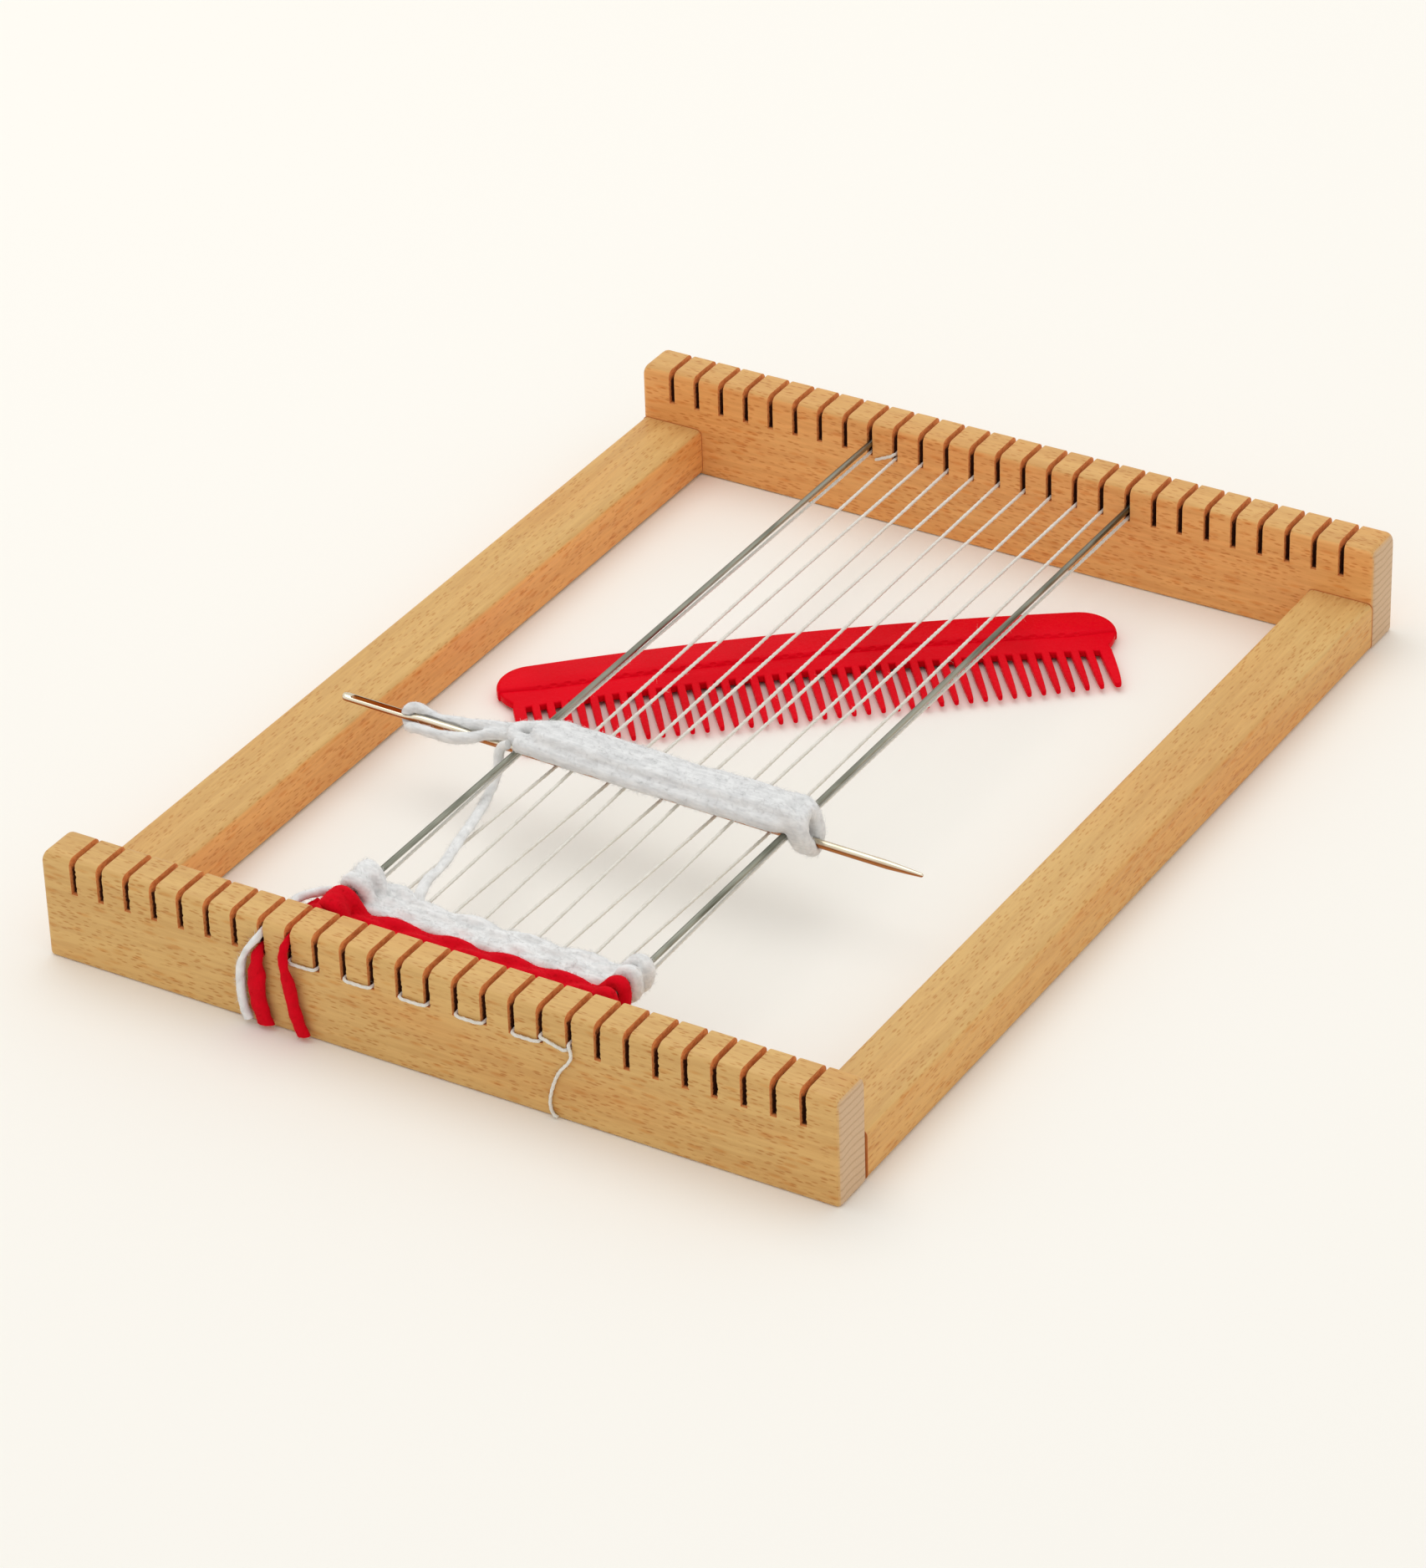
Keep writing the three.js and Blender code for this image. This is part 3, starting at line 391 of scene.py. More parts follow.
def less(tree, whole, cutters, **settings):
    """The first closed shape with the second one taken away."""
    cut = put(tree, "GeometryNodeMeshBoolean", settings, operation="DIFFERENCE", solver="EXACT")
    tree.links.new(whole, cut.inputs[0])
    tree.links.new(cutters, cut.inputs[1])
    return cut.outputs[0]


def mark_cut(tree, cutters):
    """Marks a cutter's faces, so that what they cut is found again and gets the sawn wood."""
    marked = put(tree, "GeometryNodeStoreNamedAttribute", data_type="BOOLEAN", domain="FACE")
    tree.links.new(cutters, marked.inputs["Geometry"])
    marked.inputs["Name"].default_value = "cut"
    marked.inputs["Value"].default_value = True
    return marked.outputs[0]


def saw_cuts_tree():
    """Cuts a row of upright slots through a rail, each a little out of true, with torn edges outside."""
    tree, given = open_tree(
        "saw cuts", Count="Int", Pitch="Float", Width="Float", Depth="Float", Thickness="Float", Top="Float",
        Middle="Float", Outside="Float", Tear="Float", Seed="Int", Beech="Material", Sawn="Material",
    )
    start = joined(tree, row_start(tree, given), given["Middle"], given["Top"])
    places = row_of_points(tree, given, start)
    depth = times(tree, given["Thickness"], 1.6)
    size = joined(tree, given["Width"], depth, times(tree, given["Depth"], 2.0))
    parts = {"Size": size, "Vertices X": 2, "Vertices Y": 14, "Vertices Z": 30}
    blade = put(tree, "GeometryNodeMeshCube", parts).outputs[0]
    on_right = calc(tree, "GREATER_THAN", split(tree, position(tree))["X"], 0.0)
    sides = {"Geometry": blade, "Name": "right", "Value": on_right}
    marked = put(tree, "GeometryNodeStoreNamedAttribute", sides).outputs[0]
    limits = {0: (0, -0.008, -0.01), 1: (0, 0.008, 0.01), "Seed": given["Seed"]}
    lean = put(tree, "FunctionNodeRandomValue", limits, data_type="FLOAT_VECTOR").outputs[0]
    blades = {"Points": places, "Instance": marked, "Rotation": lean}
    cutters = put(tree, "GeometryNodeInstanceOnPoints", blades).outputs[0]
    cutters = put(tree, "GeometryNodeRealizeInstances", {0: cutters}).outputs[0]
    here = position(tree)
    rough = ramp(tree, cloudy(tree, here, (700, 500, 1500), 2), 0.46, 0.68, 0.0, 1.0)
    out = minus(tree, split(tree, here)["Y"], given["Middle"])
    out = calc(tree, "DIVIDE", times(tree, out, given["Outside"]), given["Thickness"])
    out = ramp(tree, out, 0.36, 0.5, 0.12, 1.0)
    right = named(tree, "right", "FLOAT")
    torn = times(tree, times(tree, rough, out), times(tree, right, given["Tear"]))
    cutters = moved_to(tree, cutters, Offset=joined(tree, torn))
    rail = less(tree, given["Geometry"], mark_cut(tree, cutters))
    close_tree(tree, rail, given["Beech"], others=[(given["Sawn"], named(tree, "cut", "BOOLEAN"))])
    return tree


slot_count = 27
slot_pitch = 7 * MM
slot_width = 1.5 * MM
slot_depth = 8.8 * MM
tear = 0.45 * MM
staple_offset = 2.25 * MM
staple_width = 5.6 * MM
staple_wire = 1.1 * MM
staple_height = 7.5 * MM
staple_leg = 18 * MM
rail_low, rail_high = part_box("front_rail")
rail_length, rail_thickness, rail_height = rail_high - rail_low
inner_y, outer_y = -rail_high.y, -rail_low.y
side_low, side_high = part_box("right_side_rail")
staple_x = (side_low.x + side_high.x) / 2 - staple_offset
sawn = sawn_beech(inner_y, outer_y, rail_height)
saw_cuts = saw_cuts_tree()


def staple_hole(x, y, sunk):
    """The torn mouth that a staple's crown leaves in the rail's outer face."""
    half, tall = staple_width / 2 + 0.5 * MM, staple_wire / 2 + 0.3 * MM
    rings = []
    for depth, grown in ((-sunk, 0.86), (0, 1.0), (sunk, 1.06)):
        ring = []
        for k in range(20):
            angle = 2 * math.pi * k / 20
            across = half * abs(math.cos(angle)) ** 0.55 * math.copysign(1, math.cos(angle))
            z = staple_height + tall * grown * math.sin(angle)
            ring.append((x + across * grown, y + math.copysign(depth, y), z))
        rings.append(ring)
    return closed_tube(rings)


def cut_away(piece, mesh):
    """Takes the shape of a mesh out of a piece."""
    cutter = piece_of("cutter", mesh)
    mesh.materials.append(sawn)
    difference = piece.modifiers.new("hole", "BOOLEAN")
    difference.object = cutter
    difference.solver = "EXACT"
    difference.material_mode = "TRANSFER"
    baked(piece)
    bpy.data.objects.remove(cutter)


for end, endways, tint, side_painted_tint, seed in (
    ("front", -1, (1.0, 0.99, 0.97), (1.0, 1.0, 1.0), 3),
    ("rear", 1, (1.03, 0.95, 0.90), (1.15, 1.0, 0.93), 8),
):
    middle = endways * (inner_y + outer_y) / 2
    wood = beech(f"{end} rail beech", 0, (0.31 * endways, 0.07 * seed, 0.013 * seed), tint, 0.9, side_painted_tint)
    blank = bar(rail_length, rail_thickness, rail_height, 0.6 * MM, 1.8 * MM, MM, 2 * MM, 1.2 * MM)
    rail = piece_of(f"{end}_rail_wood", blank)
    rail.data.transform(Matrix.Translation((0, middle, 0)))
    rail.data.materials.append(wood)
    for sideways, sunk in ((-1, 0.8 * MM), (1, 1.3 * MM)):
        cut_away(rail, staple_hole(sideways * staple_x, endways * outer_y, sunk))
    grow(rail, saw_cuts, {
        "Count": slot_count, "Pitch": slot_pitch, "Width": slot_width, "Depth": slot_depth,
        "Thickness": rail_thickness, "Top": rail_height, "Middle": middle, "Outside": float(endways),
        "Tear": tear, "Seed": seed, "Beech": wood, "Sawn": sawn,
    })
    mark_facing(baked(rail, 32))
    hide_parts(f"{end}_rail")
    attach(rail, "frame")

# The side rails are lower beech bars with all their long edges rounded. Each is butted between the end
# rails, and glue has squeezed into the joint as a thin amber line.


def wood_glue():
    """Hide glue: amber, and beaded where it has squeezed out."""
    glue, tree, shader = new_material("wood glue", Roughness=0.35)
    place = object_place(tree)
    bead = cloudy(tree, place, (500, 500, 500))
    coloured(tree, shader, mixed(tree, bead, (0.50, 0.13, 0.03, 1), (0.62, 0.24, 0.07, 1)))
    raise_surface(tree, shader, bead, 0.1 * MM, 0.3)
    return glue


glue = wood_glue()
side_width, side_length, side_height = side_high.x - side_low.x, side_high.y - side_low.y, side_high.z
quarter_turn = Matrix.Rotation(math.radians(90), 4, "Z")
side_middle = (side_low.x + side_high.x) / 2
for side, sideways, tint, side_painted_tint in (
    ("left", -1, (1.0, 0.97, 0.93), (1.22, 0.98, 0.86)),
    ("right", 1, (0.99, 0.98, 0.96), (1.06, 0.95, 0.86)),
):
    wood = beech(f"{side} rail beech", math.radians(-90), (0.13 * sideways, 0.4, 0.05), tint, 0.75, side_painted_tint)
    blank = bar(side_length, side_width, side_height, 1.6 * MM, 1.6 * MM, 0.1 * MM, 0.1 * MM, 0.1 * MM)
    rail = piece_of(f"{side}_side_rail_wood", blank)
    rail.data.transform(Matrix.Translation((sideways * side_middle, 0, 0)) @ quarter_turn)
    rail.data.materials.append(wood)
    mark_facing(baked(rail, 32))
    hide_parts(f"{side}_side_rail")
    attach(rail, "frame")
    for end, endways in (("front", -1), ("rear", 1)):
        gap, joint_y = inner_y - side_high.y, endways * (inner_y + side_high.y) / 2
        film = bar(gap, side_width + 0.2 * MM, side_height + 0.15 * MM, 1.6 * MM, 1.6 * MM, 0, 0, 0)
        film.transform(quarter_turn)
        film.transform(Matrix.Translation((sideways * side_middle, joint_y, 0)))
        film.materials.append(glue)
        line = baked(piece_of(f"{end}_{side}_glue_line", film), 32)
        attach(line, "frame")

# A wire staple is driven through each end rail into the side rail behind it. Its crown lies just under
# the surface, and the wire is dull steel.
wire_steel, tree, shader = new_material("staple wire", Metallic=0.85)
place = object_place(tree)
stain = cloudy(tree, place, (900, 900, 900), 3)
coloured(tree, shader, mixed(tree, ramp(tree, stain, 0.4, 0.7), (0.62, 0.60, 0.55, 1), (0.36, 0.29, 0.21, 1)))
roughened(tree, shader, ramp(tree, stain, 0.3, 0.7, 0.3, 0.55))
raise_surface(tree, shader, stain, 0.05 * MM, 0.3)


def flat_wire(x, face_y, endways, sunk):
    """A staple: its crown across X under the face, its two legs into the wood."""
    reach, radius, corner = staple_width / 2 - staple_wire / 2, staple_wire / 2, 0.7 * MM
    crown = face_y - endways * (sunk + radius)
    path = [(x - reach, crown - endways * (staple_leg - radius))]
    for turn in range(5):
        angle = math.radians(90 * turn / 4)
        rise = corner * (1 - math.cos(angle))
        path.append((x - reach + rise, crown - endways * corner * (1 - math.sin(angle))))
    path += [(2 * x - px, py) for px, py in reversed(path)]
    rings = []
    for k, (px, py) in enumerate(path):
        before, after = path[max(k - 1, 0)], path[min(k + 1, len(path) - 1)]
        heading = Vector((after[0] - before[0], after[1] - before[1])).normalized()
        across = Vector((-heading.y, heading.x))
        ring = []
        for s in range(12):
            angle = 2 * math.pi * (s + 0.5) / 12
            wide = radius * math.copysign(abs(math.cos(angle)) ** 0.6, math.cos(angle))
            tall = radius * math.copysign(abs(math.sin(angle)) ** 0.6, math.sin(angle))
            ring.append((px + across.x * wide, py + across.y * wide, staple_height + tall))
        rings.append(ring)
    return closed_tube(rings)


def outward(mesh, weld=0.0):
    """Makes every face of a closed mesh point outwards, with points nearer than weld joined first."""
    loose = bmesh.new()
    loose.from_mesh(mesh)
    if weld:
        bmesh.ops.remove_doubles(loose, verts=loose.verts, dist=weld)
    bmesh.ops.recalc_face_normals(loose, faces=loose.faces)
    loose.to_mesh(mesh)
    loose.free()
    return mesh


for end, endways in (("front", -1), ("rear", 1)):
    for side, sideways, sunk in (("left", -1, 0.1 * MM), ("right", 1, 0.5 * MM)):
        mesh = outward(flat_wire(sideways * staple_x, endways * outer_y, endways, sunk))
        mesh.materials.append(wire_steel)
        staple = baked(piece_of(f"{end}_{side}_staple_wire", mesh), 40)
        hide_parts(f"{end}_{side}_staple")
        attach(staple, "frame")

# Two straight steel rods lie in the slots outside the warp and keep the edges of the cloth straight.
# They are drawn wire, grey-green, with their ends filed round. Each rod has a painted reflection and shade:
# lighter on its right side and darker on its left.
rod_steel, tree, shader = new_material("drawn rod steel", Metallic=1.0)
place = object_place(tree)
drawn = cloudy(tree, place, (5000, 60, 5000))
tarnish = cloudy(tree, place, (300, 45, 300), 3)
across = split(tree, attribute(tree, "facing")["Vector"])["X"]
# Painted reflection and shade: lighter where the rod faces right, darker where it faces left.
reflected_sides = mixed(tree, ramp(tree, across, -0.9, 0.9), (0.085, 0.092, 0.072, 1), (0.40, 0.41, 0.355, 1))
grey = mixed(tree, ramp(tree, tarnish, 0.4, 0.62), reflected_sides, (0.13, 0.138, 0.11, 1))
coloured(tree, shader, mixed(tree, ramp(tree, drawn, 0.5, 0.75, 0, 0.5), grey, (0.36, 0.365, 0.32, 1)))
roughened(tree, shader, ramp(tree, drawn, 0.3, 0.7, 0.28, 0.44))
raise_surface(tree, shader, drawn, 0.02 * MM, 0.2)


def turned(profile, sides, middle):
    """A round body along Y through (x, z) middle, from a profile of (place along, radius) pairs."""
    rings = []
    for along, radius in profile:
        ring = []
        for s in range(sides):
            angle = 2 * math.pi * s / sides
            ring.append((middle[0] + radius * math.cos(angle), along, middle[1] + radius * math.sin(angle)))
        rings.append(ring)
    return outward(closed_tube(rings))


for side in ("left", "right"):
    low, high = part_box(f"{side}_selvedge_rod")
    radius = (high.z - low.z) / 2
    angles = (0.25, 0.55, 0.9, 1.25, math.pi / 2)
    round_end = [(radius * (1 - math.cos(a)), radius * math.sin(a)) for a in angles]
    profile = [(low.y + d * 0.7, r) for d, r in round_end]
    profile += [(high.y - d * 0.7, r) for d, r in reversed(round_end)]
    mesh = turned(profile, 32, ((low.x + high.x) / 2, (low.z + high.z) / 2))
    mesh.materials.append(rod_steel)
    rod = baked(piece_of(f"{side}_rod_steel", mesh), 40)
    mark_facing(rod)
    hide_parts(f"{side}_selvedge_rod")
    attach(rod, f"{side}_rod")

# The warp is one long cotton thread of three strands. It starts round a tooth at the rear left, is wound
# to and fro between the rails through eleven slots, and ends round a tooth at the front right.


def scaled(tree, a, scale):
    return put(tree, "ShaderNodeVectorMath", {0: a, "Scale": scale}, operation="SCALE").outputs[0]


def noted(tree, geometry, name, value, kind="FLOAT"):
    """Keeps a value on each point, under a name."""
    sockets = {"Geometry": geometry, "Name": name, "Value": value}
    return put(tree, "GeometryNodeStoreNamedAttribute", sockets, data_type=kind).outputs[0]


def circle_of(tree, sides, radius):
    return put(tree, "GeometryNodeCurvePrimitiveCircle", {"Resolution": sides, "Radius": radius}).outputs[0]


def tube_along(tree, line, ring, scale):
    sockets = {"Curve": line, "Profile Curve": ring, "Scale": scale, "Fill Caps": True}
    return put(tree, "GeometryNodeCurveToMesh", sockets).outputs[0]


def stepped_line(tree, given, step):
    """The given line as a curve with a point at every step."""
    line = put(tree, "GeometryNodeMeshToCurve", {0: given["Geometry"]}).outputs[0]
    return put(tree, "GeometryNodeResampleCurve", {"Curve": line, "Length": step}, mode="LENGTH").outputs[0]


def pushed_out(tree, geometry, bulge):
    """Moves each point outwards by its own bulge."""
    normal = put(tree, "GeometryNodeInputNormal").outputs[0]
    return moved_to(tree, geometry, Offset=scaled(tree, normal, bulge))


def with_fibres(tree, given, yarn):
    """Lays short, tapered, bent fibres on a yarn, each turned its own way, and smooths the whole."""
    shape = {"Resolution": 3, "Start": (0, 0, -0.1), "Middle": (0.4, 0, 0.3), "End": (1.0, 0, 0.35)}
    hair = put(tree, "GeometryNodeCurveQuadraticBezier", shape).outputs[0]
    thin = minus(tree, 1.0, times(tree, put(tree, "GeometryNodeSplineParameter").outputs["Factor"], 0.7))
    hair_ring = circle_of(tree, 3, calc(tree, "DIVIDE", given["Fibre radius"], given["Fibre length"]))
    hair = tube_along(tree, hair, hair_ring, thin)
    roots = put(tree, "GeometryNodeDistributePointsOnFaces", {
        "Mesh": yarn, "Density": given["Fibre density"], "Seed": given["Seed"]})
    any_angle = {2: 0.0, 3: 2 * math.pi, "Seed": given["Seed"]}
    angle = put(tree, "FunctionNodeRandomValue", any_angle, data_type="FLOAT").outputs[1]
    turn = put(tree, "FunctionNodeAxisAngleToRotation", {"Axis": (0, 0, 1), "Angle": angle}).outputs[0]
    facing = {0: roots.outputs["Rotation"], 1: turn}
    facing = put(tree, "FunctionNodeRotateRotation", facing, rotation_space="LOCAL").outputs[0]
    grown = put(tree, "FunctionNodeRandomValue", {2: 0.4, 3: 1.2, "Seed": 5}, data_type="FLOAT").outputs[1]
    grown = times(tree, grown, given["Fibre length"])
    hairs = put(tree, "GeometryNodeInstanceOnPoints", {
        "Points": roots.outputs[0], "Instance": hair, "Rotation": facing, "Scale": grown}).outputs[0]
    hairs = put(tree, "GeometryNodeRealizeInstances", {0: hairs}).outputs[0]
    both = put(tree, "GeometryNodeJoinGeometry")
    tree.links.new(yarn, both.inputs[0])
    tree.links.new(hairs, both.inputs[0])
    whole = {"Geometry": both.outputs[0], "Shade Smooth": True}
    return put(tree, "GeometryNodeSetShadeSmooth", whole).outputs[0]


def spun_tree():
    """Spins a twisted yarn along a line: strands, uneven thickness, and loose fibres standing off it."""
    tree, given = open_tree(
        "spun yarn", Radius="Float", Strands="Float", Twist="Float", Furrow="Float", Step="Float",
        Sides="Int", Lumps="Float", Fibre_density="Float", Fibre_length="Float", Fibre_radius="Float",
        Seed="Int", Yarn="Material",
    )
    line = stepped_line(tree, given, given["Step"])
    length = put(tree, "GeometryNodeSplineParameter").outputs["Length"]
    line = noted(tree, line, "along", length)
    line = noted(tree, line, "centre", position(tree), "FLOAT_VECTOR")
    turns = times(tree, calc(tree, "DIVIDE", length, given["Twist"]), 2 * math.pi)
    line = put(tree, "GeometryNodeSetCurveTilt", {"Curve": line, "Tilt": turns}).outputs[0]
    spot = position(tree)
    circle = noted(tree, circle_of(tree, given["Sides"], 1.0), "round", spot, "FLOAT_VECTOR")
    turn = times(tree, put(tree, "GeometryNodeSplineParameter").outputs["Factor"], math.pi)
    ridge = calc(tree, "ABSOLUTE", calc(tree, "COSINE", times(tree, turn, given["Strands"])))
    dip = times(tree, minus(tree, 1.0, ridge), given["Furrow"])
    size = times(tree, minus(tree, 1.0, dip), given["Radius"])
    circle = moved_to(tree, circle, Position=scaled(tree, spot, size))
    slow = cloudy(tree, joined(tree, length, given["Radius"], given["Seed"]), (260, 900, 3.7))
    uneven = plus(tree, 1.0, times(tree, minus(tree, slow, 0.5), given["Lumps"]))
    yarn = tube_along(tree, line, circle, uneven)
    centre = named(tree, "centre", "FLOAT_VECTOR")
    away = vector(tree, "SUBTRACT", position(tree), centre)
    away = vector(tree, "MULTIPLY", away, named(tree, "pressed", "FLOAT_VECTOR"))
    yarn = moved_to(tree, yarn, Position=vector(tree, "ADD", centre, away))
    bulge = minus(tree, cloudy(tree, position(tree), (700, 700, 700), 2), 0.5)
    yarn = pushed_out(tree, yarn, times(tree, times(tree, bulge, given["Radius"]), given["Lumps"]))
    close_tree(tree, with_fibres(tree, given, yarn), given["Yarn"])
    return tree


def fibre_material(name, light, dark, sheen, strands, streak):
    """Spun fibre: fine lines that run with the strands, soft mottling, and a matt sheen."""
    fibre, tree, shader = new_material(
        name, Roughness=0.95, Specular_IOR_Level=0.05, Sheen_Weight=sheen, Sheen_Roughness=0.6)
    around = attribute(tree, "round")["Vector"]
    along = attribute(tree, "along")["Fac"]
    ring = split(tree, around)
    lines_place = joined(tree, along, ring["X"], ring["Y"])
    lines = cloudy(tree, lines_place, (420, 3.2 * strands, 3.2 * strands), 3)
    place = object_place(tree)
    soft = cloudy(tree, place, (420, 420, 420), 3)
    tone = plus(tree, times(tree, lines, streak), times(tree, soft, 1 - streak))
    coloured(tree, shader, mixed(tree, ramp(tree, tone, 0.36, 0.62), dark, light))
    roughened(tree, shader, ramp(tree, soft, 0.3, 0.7, 0.85, 1.0))
    height = plus(tree, lines, soft)
    raise_surface(tree, shader, height, 0.12 * MM, 0.45)
    return fibre


def smooth(points, steps):
    """Points on one smooth curve through the given ones, evenly spaced along it."""
    spots = [Vector(p) for p in points]
    spots = [2 * spots[0] - spots[1]] + spots + [2 * spots[-1] - spots[-2]]
    fine = []
    for k in range(1, len(spots) - 2):
        before, first, second, after = spots[k - 1:k + 3]
        pairs = ((before, first), (first, second), (second, after))
        gaps = [max(1e-6, (b - a).length) ** 0.5 for a, b in pairs]
        for part in range(12):
            t = part / 12
            between = (second - first) / gaps[1]
            leave = (first - before) / gaps[0] - (second - before) / (gaps[0] + gaps[1]) + between
            reach = between - (after - first) / (gaps[1] + gaps[2]) + (after - second) / gaps[2]
            leave, reach = leave * gaps[1], reach * gaps[1]
            fine.append(
                first * (2 * t ** 3 - 3 * t ** 2 + 1) + leave * (t ** 3 - 2 * t ** 2 + t)
                + second * (-2 * t ** 3 + 3 * t ** 2) + reach * (t ** 3 - t ** 2)
            )
    fine.append(spots[-2])
    if not steps:
        return fine
    lengths = [0.0]
    for a, b in zip(fine, fine[1:]):
        lengths.append(lengths[-1] + (b - a).length)
    even, k = [], 0
    for step in range(steps + 1):
        wanted = lengths[-1] * step / steps
        while k < len(fine) - 2 and lengths[k + 1] < wanted:
            k += 1
        share = (wanted - lengths[k]) / max(1e-9, lengths[k + 1] - lengths[k])
        even.append(fine[k].lerp(fine[k + 1], min(1.0, share)))
    return even


def line_mesh(path, pressed=None):
    """A line of points in metres that carries how far the yarn is pressed flat at each."""
    mesh = bpy.data.meshes.new("line")
    mesh.from_pydata([tuple(spot) for spot in path], [(k, k + 1) for k in range(len(path) - 1)], [])
    squeeze = mesh.attributes.new("pressed", "FLOAT_VECTOR", "POINT")
    for k, spot in enumerate(path):
        squeeze.data[k].vector = pressed(spot) if pressed else (1, 1, 1)
    return mesh


spun = spun_tree()
cotton = fibre_material("warp cotton", (0.92, 0.89, 0.82, 1), (0.76, 0.72, 0.63, 1), 0.2, 3, 0.6)


def spin(name, path, values, pressed=None):
    """A piece of yarn along a path, spun and made plain."""
    return baked(grow(piece_of(name, line_mesh(path, pressed)), spun, values))


warp_radius = 0.4 * MM
warp_clearance = 0.12 * MM
strand_count = 11
first_slot = 9
last_slot = first_slot + strand_count - 1
slot_floor = rail_height - slot_depth
strand_height = slot_floor + warp_clearance + warp_radius
needle_low, needle_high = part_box("needle")
needle_radius = 1.0 * MM
needle_height = (needle_low.z + needle_high.z) / 2
over_needle = needle_height + needle_radius + 0.2 * MM + warp_radius
under_needle = needle_height - needle_radius - 0.2 * MM - warp_radius
needle_turn = math.radians(-1.5)
needle_eye_end = Vector((-85.8, -34.2)) * MM
second_pass = strand_height + 2 * warp_radius + 0.45 * MM
crossing_y = outer_y + warp_clearance + warp_radius


def off(x, y, z, *steps):
    """Points at so many millimetres from one place."""
    return [(x + right * MM, y + rearwards * MM, z + up * MM) for right, rearwards, up in steps]


def slot_x(slot):
    return (slot - (slot_count + 1) / 2) * slot_pitch


def needle_y(x):
    return needle_eye_end.y + (x - needle_eye_end.x) * math.tan(needle_turn)


def strand(slot):
    """One strand of the warp from front to rear, lifted or lowered where it crosses the needle."""
    x = slot_x(slot)
    passing = over_needle if (slot - first_slot) % 2 == 0 else under_needle
    near = 1.5 * MM
    return [
        (x, -outer_y + near, strand_height),
        (x, -inner_y + 23.6 * MM, strand_height),
        (x, needle_y(x) - near, passing),
        (x, needle_y(x) + near, passing),
        (x, inner_y - near, strand_height),
        (x, outer_y - near, strand_height),
    ]


def bend(slot, sideways, endways, height):
    """Out of a slot's mouth on to the rail's outer face, turning sideways."""
    x = slot_x(slot)
    return [
        (x + sideways * 0.02 * MM, endways * (outer_y - 0.45 * MM), height),
        (x + sideways * 0.16 * MM, endways * (outer_y + 0.12 * MM), height),
        (x + sideways * 0.62 * MM, endways * (crossing_y - 0.05 * MM), height),
        (x + sideways * 1.3 * MM, endways * crossing_y, height - 0.1 * MM),
    ]


def cross_over(start, end, endways, start_height, end_height):
    sideways = math.copysign(1, end - start)
    return bend(start, sideways, endways, start_height) + bend(end, -sideways, endways, end_height)[::-1]


def tie_start():
    x, beside, inside = slot_x(first_slot), slot_x(first_slot + 1), inner_y - warp_clearance - warp_radius
    return (
        off(x, inside, strand_height, (1.9, 0, -1.1))
        + off(beside, inside, strand_height, (-1.7, 0, 0.5))
        + off(beside, inside, second_pass, (-0.55, -0.05, -0.15))
        + off(beside, inner_y, second_pass, (-0.1, 0.45, 0), (0, 1.6, 0))
        + off(beside, outer_y, second_pass, (0, -1.5, 0))
        + cross_over(first_slot + 1, first_slot, 1, second_pass, strand_height)
    )


def tie_end():
    x, beside, inside = slot_x(last_slot), slot_x(last_slot - 1), -inner_y + warp_clearance + warp_radius
    return (
        cross_over(last_slot, last_slot - 1, -1, strand_height, second_pass)
        + off(beside, -outer_y, second_pass, (0, 1.5, 0))
        + off(beside, -inner_y, second_pass, (0, -1.6, 0), (0.1, -0.45, 0))
        + off(beside, inside, second_pass, (0.55, 0.05, 0), (1.4, 0, 0))
        + off(x, inside, second_pass, (-1.4, 0, 0), (-0.55, 0.05, 0))
        + off(x, -inner_y, second_pass, (-0.03, -0.3, 0), (0, -1.2, 0))
    )


warp_path = tie_start()
for slot in range(first_slot, last_slot + 1):
    to_front = (slot - first_slot) % 2 == 0
    warp_path += strand(slot)[::-1] if to_front else strand(slot)
    if slot < last_slot:
        warp_path += cross_over(slot, slot + 1, -1 if to_front else 1, strand_height, strand_height)
warp_path = [Vector(spot) for spot in warp_path + tie_end()]
thread = {
    "Radius": 1.1 * warp_radius, "Strands": 3.0, "Twist": 5.2 * MM, "Furrow": 0.32, "Step": 0.55 * MM,
    "Sides": 9, "Lumps": 0.22, "Fibre density": 1.6e5, "Fibre length": 1.1 * MM,
    "Fibre radius": 0.018 * MM, "Seed": 4, "Yarn": cotton,
}
warp = spin("warp_cotton", warp_path, thread)
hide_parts("warp_thread")
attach(warp, "frame")

# The thread's loose end comes out of its last slot and hangs down the front rail to the table.
# It is the same spun cotton, cut off short.
x, face = slot_x(last_slot), -crossing_y
warp_end_route = (
    off(x, -inner_y, second_pass, (0, -1.5, 0), (0, -5, 0))
    + off(x, -outer_y, second_pass, (0, 1.4, 0), (0, 0.4, 0.1), (0.3, -0.45, 0))
    + off(x, face, second_pass, (0.85, -0.35, -0.75), (1.1, -0.4, -1.9), (0.5, -0.3, -3.6))
    + off(x, face, 0, (-2.3, 0, 12.2), (-4, 0, 8.1), (-4.9, 0, 3.8), (-4.3, 0, 1.1), (-3.2, 0, 0.6))
)
path = smooth(warp_end_route, 60)
warp_end = spin("warp_end", path, thread)
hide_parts("warp_end_tail")
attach(warp_end, "frame")

